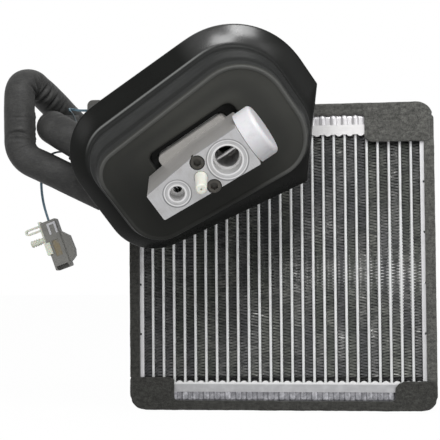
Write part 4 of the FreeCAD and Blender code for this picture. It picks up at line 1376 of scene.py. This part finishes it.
    def build(self) -> List[bpy.types.Object]:
        """Dress the block and return the pieces that were added."""
        dress(Finishes.TUBE, *(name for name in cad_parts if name.startswith("flat_tube")))
        dress(Finishes.HEADER, "top_header_plate")
        dress(Finishes.SHADED_LOW_HEADER, "bottom_header_plate")
        dress(Finishes.TANK, "top_tank_cover", "top_end_cap")
        dress(Finishes.SHADED_LOW_TANK, "bottom_tank_cover", "bottom_end_cap_right", "bottom_end_cap_left")
        dress(Finishes.PLATE, "side_plate_left", "side_plate_right")
        dress(Finishes.BLOCK, "port_block", "pipe_flange")
        fins = add_piece("louvred_fins", self.fin_field(), Finishes.FIN, smooth=False)
        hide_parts("fin_columns")
        return [fins]


@dataclass
class FoamEdging:
    """The four foam pieces stuck round the block."""

    voxel: float = 1.5
    softness: int = 3
    smooth_share: float = 0.5
    lump: float = 0.35
    lump_scales: Span = (70.0, 330.0)
    lump_shares: Span = (0.6, 0.4)
    # The top and right pieces get the lighter foam and the others the darker: painted light and painted
    # shade.
    finishes: Dict[str, Finish] = field(default_factory=lambda: {
        "foam_top": Finishes.LIT_EDGE_FOAM, "foam_bottom": Finishes.SHADED_EDGE_FOAM,
        "foam_left": Finishes.SHADED_EDGE_FOAM, "foam_right": Finishes.LIT_EDGE_FOAM})

    def soft_copy(self, name: str) -> bpy.types.Mesh:
        """Return a softened, slightly uneven mesh of one foam node.

        Args:
            name: The CAD node's name.

        Returns:
            The new mesh.
        """
        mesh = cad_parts[name].data.copy()
        with edited(mesh) as work:
            bmesh.ops.remove_doubles(work, verts=work.verts, dist=NODE_MERGE)
        soft = modified(mesh, (
            ("REMESH", {"mode": "VOXEL", "voxel_size": self.voxel * MM}),
            ("SMOOTH", {"factor": self.smooth_share, "iterations": self.softness})))
        self.roughen(soft)
        return soft

    def roughen(self, mesh: bpy.types.Mesh) -> None:
        """Move the points of a foam mesh in and out by a little.

        Args:
            mesh: The mesh.
        """
        with edited(mesh) as work:
            work.normal_update()
            moves = []
            for vert in work.verts:
                lift = sum(share * noise.noise(vert.co * scale)
                           for share, scale in zip(self.lump_shares, self.lump_scales))
                moves.append(vert.normal * (lift * self.lump * MM))
            for vert, move in zip(work.verts, moves):
                vert.co += move

    def build(self) -> List[bpy.types.Object]:
        """Replace the four foam nodes and return the new pieces."""
        pieces = []
        for name, finish in self.finishes.items():
            piece = add_piece(name + "_soft", self.soft_copy(name), finish)
            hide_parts(name)
            pieces.append(piece)
        return pieces


@dataclass(frozen=True)
class Crease:
    """A fold pressed into a foam sleeve, with lips beside it."""

    along: float
    around: float
    reach: float
    width: float
    depth: float
    bow: float = 0.0
    lips: float = 0.45
    lip_place: float = 1.7
    fading: float = 1.3

    def lift(self, along: float, angle: float) -> float:
        """Return how far the fold raises the skin at one place.

        Args:
            along: Distance along the sleeve.
            angle: Angle round it in degrees.

        Returns:
            The height in millimetres, below 0 in the dip.
        """
        away = turned(angle - self.around)
        if abs(away) > self.reach:
            return 0.0
        fade = math.cos(math.pi / 2 * away / self.reach) ** self.fading
        offset = along - self.along - self.bow * (away / self.reach) ** 2
        dip = math.exp(-((offset / self.width) ** 2))
        lips = math.exp(-(((abs(offset) - self.lip_place * self.width) / self.width) ** 2))
        return fade * self.depth * (self.lips * lips - dip)


@dataclass(frozen=True)
class Seam:
    """A ragged glued seam along one side of a foam sleeve."""

    first: float
    last: float
    side: float
    height: float
    half_width: float = 12.0
    taper: float = 3.0
    rise: float = 0.6
    ragged: Span = (0.6, 0.4)
    ragged_scale: float = 0.35

    def lift(self, along: float, angle: float) -> float:
        """Return how far the seam raises the skin at one place.

        Args:
            along: Distance along the sleeve.
            angle: Angle round it in degrees.

        Returns:
            The height in millimetres.
        """
        away = abs(turned(angle - self.side))
        if not self.first < along < self.last or away >= self.half_width:
            return 0.0
        base, share = self.ragged
        ragged = base + share * noise.noise(Vector((along * self.ragged_scale, 3.0, 1.0)))
        ends = min(1.0, (along - self.first) / self.taper, (self.last - along) / self.taper)
        return self.height * ragged * ends * (1.0 - away / self.half_width) ** self.rise


@dataclass
class Sleeve:
    """Foam tube over one bent pipe."""

    name: str
    node: str
    route: Tuple[Triple, ...]
    bends: Tuple[float, ...]
    bore: float
    outer: float
    marks: Tuple[Union[Crease, Seam], ...] = ()
    step: float = 0.8
    around: int = 80
    chamfer: Triple = (0.8, 0.25, 0.0)
    lump: float = 0.3
    lump_reach: float = 9.0
    lump_scales: Span = (0.045, 0.16)
    lump_share: float = 0.35

    def radius_at(self, along: float, angle: float, point: Vector) -> float:
        """Return the outer radius at one place of the sleeve.

        Args:
            along: Distance from the start, in millimetres.
            angle: Angle round the sleeve in degrees, 0 towards the front.
            point: The centre's place, for the uneven skin.

        Returns:
            The radius in millimetres.
        """
        turn = math.radians(angle)
        seat = point + Vector((math.cos(turn), math.sin(turn), 0.0)) * self.lump_reach
        wide, fine = (noise.noise(seat * scale) for scale in self.lump_scales)
        radius = self.outer / 2 + self.lump * (wide + self.lump_share * fine)
        return radius + sum(mark.lift(along, angle) for mark in self.marks)

    def build(self) -> bpy.types.Object:
        """Build the sleeve and return it."""
        path = filleted_path(self.route, self.bends, self.step)
        frames = path_frames(path)
        angles = [360.0 * k / self.around for k in range(self.around)]
        points: List[Vector] = []
        along = 0.0
        last = path[0]
        for point, pair in zip(path, frames):
            along += (point - last).length
            last = point
            trims = self.chamfer if point is path[0] else (0.0,)
            trims = self.chamfer[::-1] if point is path[-1] else trims
            for trim in trims:
                for angle in angles:
                    radius = self.radius_at(along, angle, point) - trim
                    points.append(point + spoke(pair, math.radians(angle)) * radius)
        for i in (-1, 0):
            points += [path[i] + spoke(frames[i], math.radians(angle)) * (self.bore / 2) for angle in angles]
        faces = ring_faces(len(points) // self.around, self.around, True)
        mesh = mesh_from(self.name, points, faces)
        piece = add_piece(self.name, mesh, Finishes.PIPE_FOAM)
        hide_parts(self.node)
        return piece


@dataclass
class Pipework:
    """The two pipes and their foam sleeves."""

    suction_start: float = 14.0
    suction_end: float = 20.0
    liquid_start: float = 14.0
    liquid_end: float = 13.0
    suction_bore: float = 16.2
    suction_outer: float = 25.6
    liquid_bore: float = 10.2
    liquid_outer: float = 23.6
    suction_route: Tuple[Triple, ...] = (
        (-116.0, -60.0, 185.9), (-173.6, -60.0, 220.4), (-172.6, -22.0, 218.6), (-140.65, -9.5, 221.0))
    liquid_route: Tuple[Triple, ...] = (
        (-116.9, -58.0, 159.2), (-196.9, -55.0, 197.5), (-197.0, -55.0, 264.5), (-168.1, 20.0, 223.6),
        (-144.65, 9.5, 221.0))
    suction_bends: Tuple[float, ...] = (18.0, 18.0)
    liquid_bends: Tuple[float, ...] = (19.0, 13.0, 12.0)
    suction_creases: Tuple[Crease, ...] = (
        Crease(52.0, 20.0, 70.0, 1.2, 0.5, 3.0), Crease(44.0, 70.0, 60.0, 1.0, 0.6, -3.0),
        Crease(60.0, 60.0, 80.0, 1.5, 0.8, 4.0))
    liquid_creases: Tuple[Crease, ...] = (
        Crease(140.0, -20.0, 75.0, 16.0, 2.4, 0.0, 0.0),
        Crease(100.2, 10.0, 80.0, 0.7, 0.45, 0.6), Crease(88.8, 12.0, 58.0, 1.4, 1.8, -4.2),
        Crease(84.6, -8.0, 50.0, 1.4, 0.5, -3.0), Crease(74.9, 12.0, 62.0, 0.8, 0.4, -1.0),
        Crease(124.0, 95.0, 55.0, 1.2, 1.3, 1.0), Crease(131.0, 100.0, 62.0, 1.6, 1.9, 2.0),
        Crease(138.5, 100.0, 58.0, 1.5, 1.6, -2.0), Crease(146.0, 105.0, 55.0, 1.6, 1.8, 2.0),
        Crease(153.0, 100.0, 62.0, 1.5, 1.7, -1.5), Crease(161.0, 92.0, 60.0, 1.6, 1.5, 2.0),
        Crease(172.0, 80.0, 60.0, 1.5, 0.8, 1.0))
    liquid_seam: Seam = Seam(76.0, 107.0, 88.0, 2.0)

    def trimmed(self, route: Tuple[Triple, ...], start: float, end: float) -> Tuple[Triple, ...]:
        """Return a route with both ends drawn back along their runs.

        Args:
            route: The route's points.
            start: How far its first end is drawn back.
            end: How far its last end is drawn back.

        Returns:
            The shorter route.
        """
        points = [Vector(p) for p in route]
        first = points[0] + (points[1] - points[0]).normalized() * start
        last = points[-1] + (points[-2] - points[-1]).normalized() * end
        return tuple(tuple(p) for p in [first] + points[1:-1] + [last])

    def build(self) -> List[bpy.types.Object]:
        """Build both sleeves, dress the pipes and return the sleeves."""
        dress(Finishes.PIPE, "suction_pipe", "liquid_pipe")
        suction_route = self.trimmed(self.suction_route, self.suction_start, self.suction_end)
        liquid_route = self.trimmed(self.liquid_route, self.liquid_start, self.liquid_end)
        suction = Sleeve("suction_sleeve_foam", "suction_sleeve", suction_route, self.suction_bends,
                         self.suction_bore, self.suction_outer, self.suction_creases)
        liquid = Sleeve("liquid_sleeve_foam", "liquid_sleeve", liquid_route, self.liquid_bends,
                        self.liquid_bore, self.liquid_outer, self.liquid_creases + (self.liquid_seam,))
        return [suction.build(), liquid.build()]


@dataclass
class DashBoot:
    """Moulded rubber boot with a stepped wall and a swept flange.

    A profile's pairs are how far a ring is widened and how deep it lies. The wall's
    triples are its share of the depth, its share of the way from the panel to the
    foot, and how far it bulges.
    """

    dash: DashFrame = DashFrame()
    panel: Tuple[Corner, ...] = ((-72.3, 40.6, 21.0), (-71.8, -35.6, 25.0), (58.0, -45.4, 29.0),
                                 (75.9, -23.4, 36.0), (76.2, 49.4, 35.0))
    foot: Tuple[Corner, ...] = ((-77.3, 54.6, 29.0), (-76.4, -38.7, 27.0), (59.7, -48.7, 31.5),
                                (80.6, -23.1, 42.0), (80.8, 60.2, 40.0))
    edge: Tuple[Corner, ...] = ((-89.5, 71.5, 44.0), (-90.5, -44.7, 36.0), (49.0, -65.2, 1.5),
                                (95.8, -7.7, 1.5), (96.0, 74.2, 58.0))
    arc_points: int = 14
    side_points: int = 12
    edge_depth: float = 71.0
    wall: float = 3.0
    slot: Sides = (-32.0, 40.0, -18.0, 24.0)
    slot_corner: float = 6.0
    slot_profile: Tuple[Span, ...] = ((0.0, 1.2), (0.5, 0.3), (1.6, 0.0))
    hole: Sides = (-26.6, 30.1, -13.1, 19.7)
    hole_corner: float = 4.1
    hole_profile: Tuple[Span, ...] = ((0.0, 3.0), (0.0, 0.4), (0.5, 0.0))
    collar_depth: float = 10.0
    collar_bevel: float = 0.6
    collar_step: float = 0.8
    rim_inset: float = -4.2
    rim_profile: Tuple[Span, ...] = ((-3.4, -0.1), (-2.4, -0.85), (-1.3, -1.15), (-0.5, -0.75), (0.0, 0.3))
    dish: float = 0.7
    dish_shares: Tuple[float, ...] = (0.12, 0.3, 0.5, 0.7, 0.88, 1.0)
    wall_start: float = 1.0
    wall_loss: float = 1.6
    wall_profile: Tuple[Triple, ...] = (
        (0.08, 0.10, 0.0), (0.16, 0.20, 0.0), (0.28, 0.25, -0.2), (0.40, 0.30, -0.2), (0.48, 0.36, 0.2),
        (0.54, 0.50, 0.4), (0.60, 0.64, 0.5), (0.66, 0.76, 0.3), (0.76, 0.82, 0.0), (0.88, 0.86, -0.3),
        (0.97, 0.92, -0.3))
    sweep_lift: float = 0.4
    sweep_power: float = 1.35
    sweep_shares: Tuple[float, ...] = (0.0, 0.05, 0.12, 0.25, 0.42, 0.6, 0.78, 0.92, 0.985)
    edge_profile: Tuple[Span, ...] = ((0.0, 0.5), (0.0, 1.6), (-0.6, 2.6))
    edge_inset: float = -1.5
    back_flange: Tuple[float, ...] = (0.15, 0.5, 0.85, 1.0)
    back_wall: Triple = (0.3, 0.7, 0.97)
    back_panel: Triple = (0.06, 0.5, 0.97)
    pips: Tuple[Span, ...] = ((-89.1, -15.5), (-83.9, 49.5))
    pip_radius: float = 1.3
    pip_fineness: int = 3
    search_reach: float = 90.0
    search_steps: int = 30

    def slot_ring(self, ring: Sequence[Vector], grow: float) -> List[Vector]:
        """Return the slot's edge, point for point with a ring round it."""
        return self.hole_ring(self.slot, self.slot_corner, ring, grow)

    def hole_ring(self, sides: Sides, corner: float, ring: Sequence[Vector], grow: float) -> List[Vector]:
        """Return the edge of a rounded hole, point for point with a ring round it.

        Args:
            sides: Left, right, low and high sides of the hole.
            corner: Its corner radius.
            ring: The ring that its points are matched to.
            grow: How far the hole is widened on every side.

        Returns:
            The hole's edge.
        """
        left, right, low, high = sides
        centre = Vector(((self.slot[0] + self.slot[1]) / 2, (self.slot[2] + self.slot[3]) / 2))
        middle = Vector(((left + right) / 2, (low + high) / 2))
        half = Vector(((right - left) / 2 + grow, (high - low) / 2 + grow))
        corner = corner + grow
        found = []
        for point in ring:
            heading = (point - centre).normalized()
            near, far = 0.0, self.search_reach
            for _ in range(self.search_steps):
                reach = (near + far) / 2
                x = abs(heading.x * reach) - half.x + corner
                y = abs(heading.y * reach) - half.y + corner
                gap = Vector((max(x, 0.0), max(y, 0.0))).length + min(max(x, y), 0.0) - corner
                near, far = (reach, far) if gap < 0 else (near, reach)
            found.append(middle + heading * near)
        return found

    def grown(self, ring: Sequence[Vector], amount: float) -> List[Vector]:
        """Return a ring moved outwards.

        Args:
            ring: The ring.
            amount: How far it moves, below 0 for inwards.

        Returns:
            The moved ring.
        """
        moved = []
        for i, point in enumerate(ring):
            along = ring[(i + 1) % len(ring)] - ring[i - 1]
            outward = Vector((along.y, -along.x)).normalized()
            if outward.dot(point) < 0:
                outward = -outward
            moved.append(point + outward * amount)
        return moved

    def between(self, first: Sequence[Vector], second: Sequence[Vector], share: float) -> List[Vector]:
        """Return the ring a share of the way from one ring to another."""
        return [a.lerp(b, share) for a, b in zip(first, second)]

    def front_rows(self, panel: Sequence[Vector]) -> List[Row]:
        """Return the rows from the hole in the collar's floor to the panel's raised rim.

        Args:
            panel: The panel's outline.

        Returns:
            Each row's ring and depth.
        """
        front = self.dash.panel_depth
        floor = front + self.collar_depth - self.wall
        rows = [(self.hole_ring(self.hole, self.hole_corner, panel, grow), floor + back)
                for grow, back in self.hole_profile]
        rows.append((self.slot_ring(panel, -self.collar_bevel), floor))
        rows.append((self.slot_ring(panel, 0.0), floor - self.collar_bevel))
        rows += [(self.slot_ring(panel, grow), front + back) for grow, back in self.slot_profile]
        lip, rim = rows[-1][0], self.grown(panel, self.rim_inset)
        rows += [(self.between(lip, rim, share), front + self.dish * math.sin(math.pi * share))
                 for share in self.dish_shares]
        return rows + [(self.grown(panel, grow), front + back) for grow, back in self.rim_profile]

    def side_rows(self, panel: Sequence[Vector], foot: Sequence[Vector], edge: Sequence[Vector]) -> List[Row]:
        """Return the rows of the stepped wall, the swept flange and its edge.

        Args:
            panel: The panel's outline.
            foot: The outline of the wall's foot.
            edge: The flange's outline.

        Returns:
            Each row's ring and depth.
        """
        front, back = self.dash.panel_depth, self.dash.foot_depth
        start, span = front + self.wall_start, back - front - self.wall_loss
        rows = [(self.grown(self.between(panel, foot, share), bulge), start + span * down)
                for down, share, bulge in self.wall_profile]
        start, sweep = back - self.sweep_lift, self.edge_depth - back + self.sweep_lift
        rows += [(self.between(foot, edge, share), start + sweep * share ** self.sweep_power)
                 for share in self.sweep_shares]
        return rows + [(self.grown(edge, grow), self.edge_depth + down) for grow, down in self.edge_profile]

    def back_rows(self, panel: Sequence[Vector], foot: Sequence[Vector], edge: Sequence[Vector]) -> List[Row]:
        """Return the rows of the boot's inside, from the flange to the collar.

        Args:
            panel: The panel's outline.
            foot: The outline of the wall's foot.
            edge: The flange's outline.

        Returns:
            Each row's ring and depth.
        """
        inner_edge = self.grown(edge, self.edge_inset)
        inner_foot, inner_panel = self.grown(foot, -self.wall), self.grown(panel, -self.wall)
        collar = self.slot_ring(panel, self.wall)
        edge_back, foot_back, panel_back = (
            depth + self.wall for depth in (self.edge_depth, self.dash.foot_depth, self.dash.panel_depth))
        rows: List[Row] = [(inner_edge, edge_back)]
        for first, second, start, end, shares in (
                (inner_edge, inner_foot, edge_back, foot_back, self.back_flange),
                (inner_foot, inner_panel, foot_back, panel_back, self.back_wall),
                (inner_panel, collar, panel_back, panel_back, self.back_panel)):
            rows += [(self.between(first, second, share), start + (end - start) * share) for share in shares]
        end = self.dash.panel_depth + self.collar_depth
        return rows + [(collar, panel_back + self.collar_step), (collar, end - self.collar_bevel),
                       (self.slot_ring(panel, self.wall - self.collar_bevel), end)]

    def build(self) -> List[bpy.types.Object]:
        """Build the boot and return it."""
        panel, foot, edge = (filleted_outline(corners, self.arc_points, self.side_points)
                             for corners in (self.panel, self.foot, self.edge))
        rows = self.front_rows(panel) + self.side_rows(panel, foot, edge) + self.back_rows(panel, foot, edge)
        points = [self.dash.point(p.x, p.y, depth) for ring, depth in rows for p in ring]
        mesh = mesh_from("dash_boot_rubber", points, ring_faces(len(rows), len(panel), True))
        mesh = modified(mesh, (("SUBSURF", {"levels": 1, "render_levels": 1}),))
        with edited(mesh) as work:
            for u, v in self.pips:
                spot = self.dash.point(u, v, self.edge_depth + self.wall / 2) * MM
                bmesh.ops.create_icosphere(work, subdivisions=self.pip_fineness, radius=self.pip_radius * MM,
                                           matrix=Matrix.Translation(spot))
            bmesh.ops.recalc_face_normals(work, faces=work.faces)
        piece = add_piece("dash_boot_rubber", mesh, Finishes.BOOT)
        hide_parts("dash_boot")
        return [piece]


@dataclass
class Valve:
    """The expansion valve and what is screwed into it."""

    finishes: Dict[str, Finish] = field(default_factory=lambda: {
        "valve_body": Finishes.VALVE, "valve_screws": Finishes.SCREW, "thread_plug": Finishes.PLUG,
        "push_rod": Finishes.STEEL, "valve_spring": Finishes.STEEL, "adjusting_screw": Finishes.STEEL,
        "power_head": Finishes.STEEL, "power_head_cap": Finishes.CAP, "port_seals": Finishes.SEAL})

    def build(self) -> List[bpy.types.Object]:
        """Dress every node of the valve; no piece is added."""
        for name, finish in self.finishes.items():
            dress(finish, name)
        return []


@dataclass
class Sensor:
    """The sensor's holder, its twin lead and its plug."""

    route: Tuple[Triple, ...] = (
        (-153.5, -11.6, 236.6), (-161.0, -11.6, 236.6), (-166.2, -19.0, 237.2), (-165.0, -29.0, 235.6),
        (-158.6, -36.2, 229.6), (-154.8, -38.9, 219.8), (-155.6, -38.9, 209.2), (-163.0, -38.0, 201.2),
        (-173.2, -37.0, 201.6), (-181.0, -35.4, 197.8), (-185.6, -32.4, 190.0), (-187.0, -30.3, 179.6),
        (-186.6, -29.5, 168.9), (-184.24, -30.0, 157.33), (-180.9, -30.0, 147.9))
    strand: float = 1.04
    spacing: float = 0.48
    first_turn: float = 60.0
    twist: float = 0.02
    around: int = 12
    order: int = 3
    resolution: int = 14

    def line(self) -> List[Vector]:
        """Return points in millimetres along the lead's smooth line."""
        curve = bpy.data.curves.new("lead_line", "CURVE")
        curve.dimensions = "3D"
        curve.resolution_u = self.resolution
        spline = curve.splines.new("NURBS")
        spline.points.add(len(self.route) - 1)
        for point, place in zip(spline.points, self.route):
            point.co = (*(part * MM for part in place), 1.0)
        spline.order_u = self.order
        spline.use_endpoint_u = True
        carrier = linked("lead_line", curve)
        mesh = evaluated_mesh(carrier)
        points = [v.co / MM for v in mesh.vertices]
        bpy.data.objects.remove(carrier)
        bpy.data.meshes.remove(mesh)
        return points

    def twin_mesh(self, path: Sequence[Vector]) -> bpy.types.Mesh:
        """Return the two strands, twisted round each other.

        Args:
            path: Points along the lead's smooth line.

        Returns:
            The mesh, closed at its ends.
        """
        frames = path_frames(path)
        points: List[Vector] = []
        faces: List[Tuple[int, ...]] = []
        for sign in (-1.0, 1.0):
            start = len(points)
            along = 0.0
            for i, (point, pair) in enumerate(zip(path, frames)):
                along += (point - path[max(i - 1, 0)]).length
                lay = spoke(pair, math.radians(self.first_turn) + along * self.twist) * (sign * self.spacing)
                for k in range(self.around):
                    ring = spoke(pair, 2 * math.pi * k / self.around) * (self.strand / 2)
                    points.append(point + lay + ring)
            ends = (start, len(points) - self.around)
            faces += [tuple(start + n for n in f) for f in ring_faces(len(path), self.around, False)]
            faces += [tuple(range(end, end + self.around)) for end in ends]
        return mesh_from("sensor_lead_twin", points, faces)

    def build(self) -> List[bpy.types.Object]:
        """Build the lead, dress the plug and return the lead."""
        path = self.line()
        lead = add_piece("sensor_lead_twin", self.twin_mesh(path), Finishes.LEAD)
        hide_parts("sensor_lead")
        dress(Finishes.TAB, "sensor_holder")
        dress(Finishes.HOUSING, "connector_housing")
        dress(Finishes.LOCK, "terminal_lock")
        dress(Finishes.CLIP, "holder_clip")
        length = sum((b - a).length for a, b in zip(path[:-1], path[1:]))
        LOG.info("lead length %.1f mm", length)
        tuple(c * MM for c in self.route[0])
        return [lead]


@dataclass
class Studio:
    """Camera, lamps, floor and background, in metres but for the camera's place."""

    camera_place: Triple = (93.2, -1019.0, 104.6)
    yaw: float = -7.97
    pitch: float = 2.42
    roll: float = -0.47
    focal_pixels: float = 1297.9
    sensor: float = 36.0
    clip: Span = (0.01, 30.0)
    ambient: float = 0.14
    lamps: Tuple[Tuple[str, Triple, Triple, float, float], ...] = (
        ("top_softbox", (0.25, -0.75, 0.95), (0.0, -0.05, 0.12), 0.4, 6.6),
        ("right_softbox", (1.15, -0.95, 0.35), (0.0, -0.05, 0.12), 1.0, 6.2),
        ("front_softbox", (-0.03, -0.61, 0.49), (-0.04, -0.11, 0.26), 0.2, 1.3),
        ("left_fill", (-1.1, -1.0, 0.25), (0.0, -0.05, 0.12), 0.5, 3.0))
    floor_half: float = 6.0
    floor_level: float = -0.0003
    paper: Colour = (0.62, 0.62, 0.62)
    paper_mark: Colour = (0.56, 0.56, 0.56)
    paper_size: float = 0.002
    paper_share: float = 0.15
    paper_roughness: float = 0.9
    glow: float = 1.02
    glow_share: float = 0.96

    def camera(self) -> None:
        """Add the camera at the photograph's viewing angle."""
        yaw, pitch, roll = (math.radians(a) for a in (self.yaw, self.pitch, self.roll))
        forward = Vector((math.sin(yaw) * math.cos(pitch), math.cos(yaw) * math.cos(pitch), math.sin(pitch)))
        level = Vector((math.cos(yaw), -math.sin(yaw), 0.0))
        upright = level.cross(forward)
        right = level * math.cos(roll) + upright * math.sin(roll)
        up = upright * math.cos(roll) - level * math.sin(roll)
        data = bpy.data.cameras.new("camera")
        data.sensor_width = self.sensor
        data.lens = self.focal_pixels * self.sensor / PICTURE_SIDE
        data.clip_start, data.clip_end = self.clip
        camera = linked("camera", data)
        turn = Matrix((right, up, -forward)).transposed().to_4x4()
        camera.matrix_world = Matrix.Translation(Vector(self.camera_place) * MM) @ turn
        bpy.context.scene.camera = camera

    def light(self) -> None:
        """Add the lamps and the world."""
        for name, place, aim, side, power in self.lamps:
            data = bpy.data.lights.new(name, "AREA")
            data.shape = "SQUARE"
            data.size = side
            data.energy = power
            lamp = linked(name, data)
            lamp.location = place
            lamp.rotation_euler = (Vector(aim) - Vector(place)).to_track_quat("-Z", "Y").to_euler()
        world = bpy.data.worlds.new("studio_world")
        world.use_nodes = True
        world.node_tree.nodes.clear()
        graph = Graph(world.node_tree)
        strength = self.seen_rays(graph) * (1.0 - self.ambient) + self.ambient
        shader = graph.node("ShaderNodeBackground", {}, {"Color": WHITE, "Strength": strength})
        graph.close("ShaderNodeOutputWorld", "Surface", shader)
        bpy.context.scene.world = world

    def seen_rays(self, graph: Graph) -> Signal:
        """Return 1 for camera, glossy and transmission rays and 0 for others."""
        camera, glossy, through = (graph.node("ShaderNodeLightPath", output=f"Is {kind} Ray")
                                   for kind in ("Camera", "Glossy", "Transmission"))
        return camera.at_least(glossy).at_least(through)

    def floor(self) -> None:
        """Add the pale floor."""
        mesh = bpy.data.meshes.new("floor")
        mesh.from_pydata([(x * self.floor_half, y * self.floor_half, self.floor_level)
                          for x, y in ((-1, -1), (1, -1), (1, 1), (-1, 1))], [], [(0, 1, 2, 3)])
        floor = linked("floor", mesh)
        graph = ShaderGraph("floor_paper")
        grain = graph.noise(graph.place, self.paper_size, Grain.SOFT)
        colour = graph.blend(grain * self.paper_share, self.paper, self.paper_mark)
        paper = graph.surface(Base_Color=colour, Roughness=self.paper_roughness)
        glow = graph.node("ShaderNodeEmission", {}, {"Color": WHITE, "Strength": self.glow})
        share = self.seen_rays(graph) * self.glow_share
        mixed = graph.node("ShaderNodeMixShader", {}, {0: share, 1: paper, 2: glow})
        mesh.materials.append(graph.done(mixed))

    def build(self) -> None:
        """Set up the whole studio."""
        self.camera()
        self.light()
        self.floor()
        bpy.context.scene.view_settings.view_transform = "Standard"


def main() -> None:
    """Build every sub-assembly in order and report each."""
    logging.basicConfig(level=logging.INFO, format="%(name)s: %(message)s")
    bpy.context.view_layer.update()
    Studio().build()
    LOG.info("studio ready")
    for name, group in (("sensor", Sensor()), ("pipework", Pipework()), ("tube block", TubeBlock()),
                        ("foam edging", FoamEdging()), ("dash boot", DashBoot()), ("valve", Valve())):
        made = group.build()
        LOG.info("%s dressed", name)
        for piece in made:
            LOG.info("%s: %s, %d faces", name, piece.name, len(piece.data.polygons))


if __name__ == "__main__":
    main()
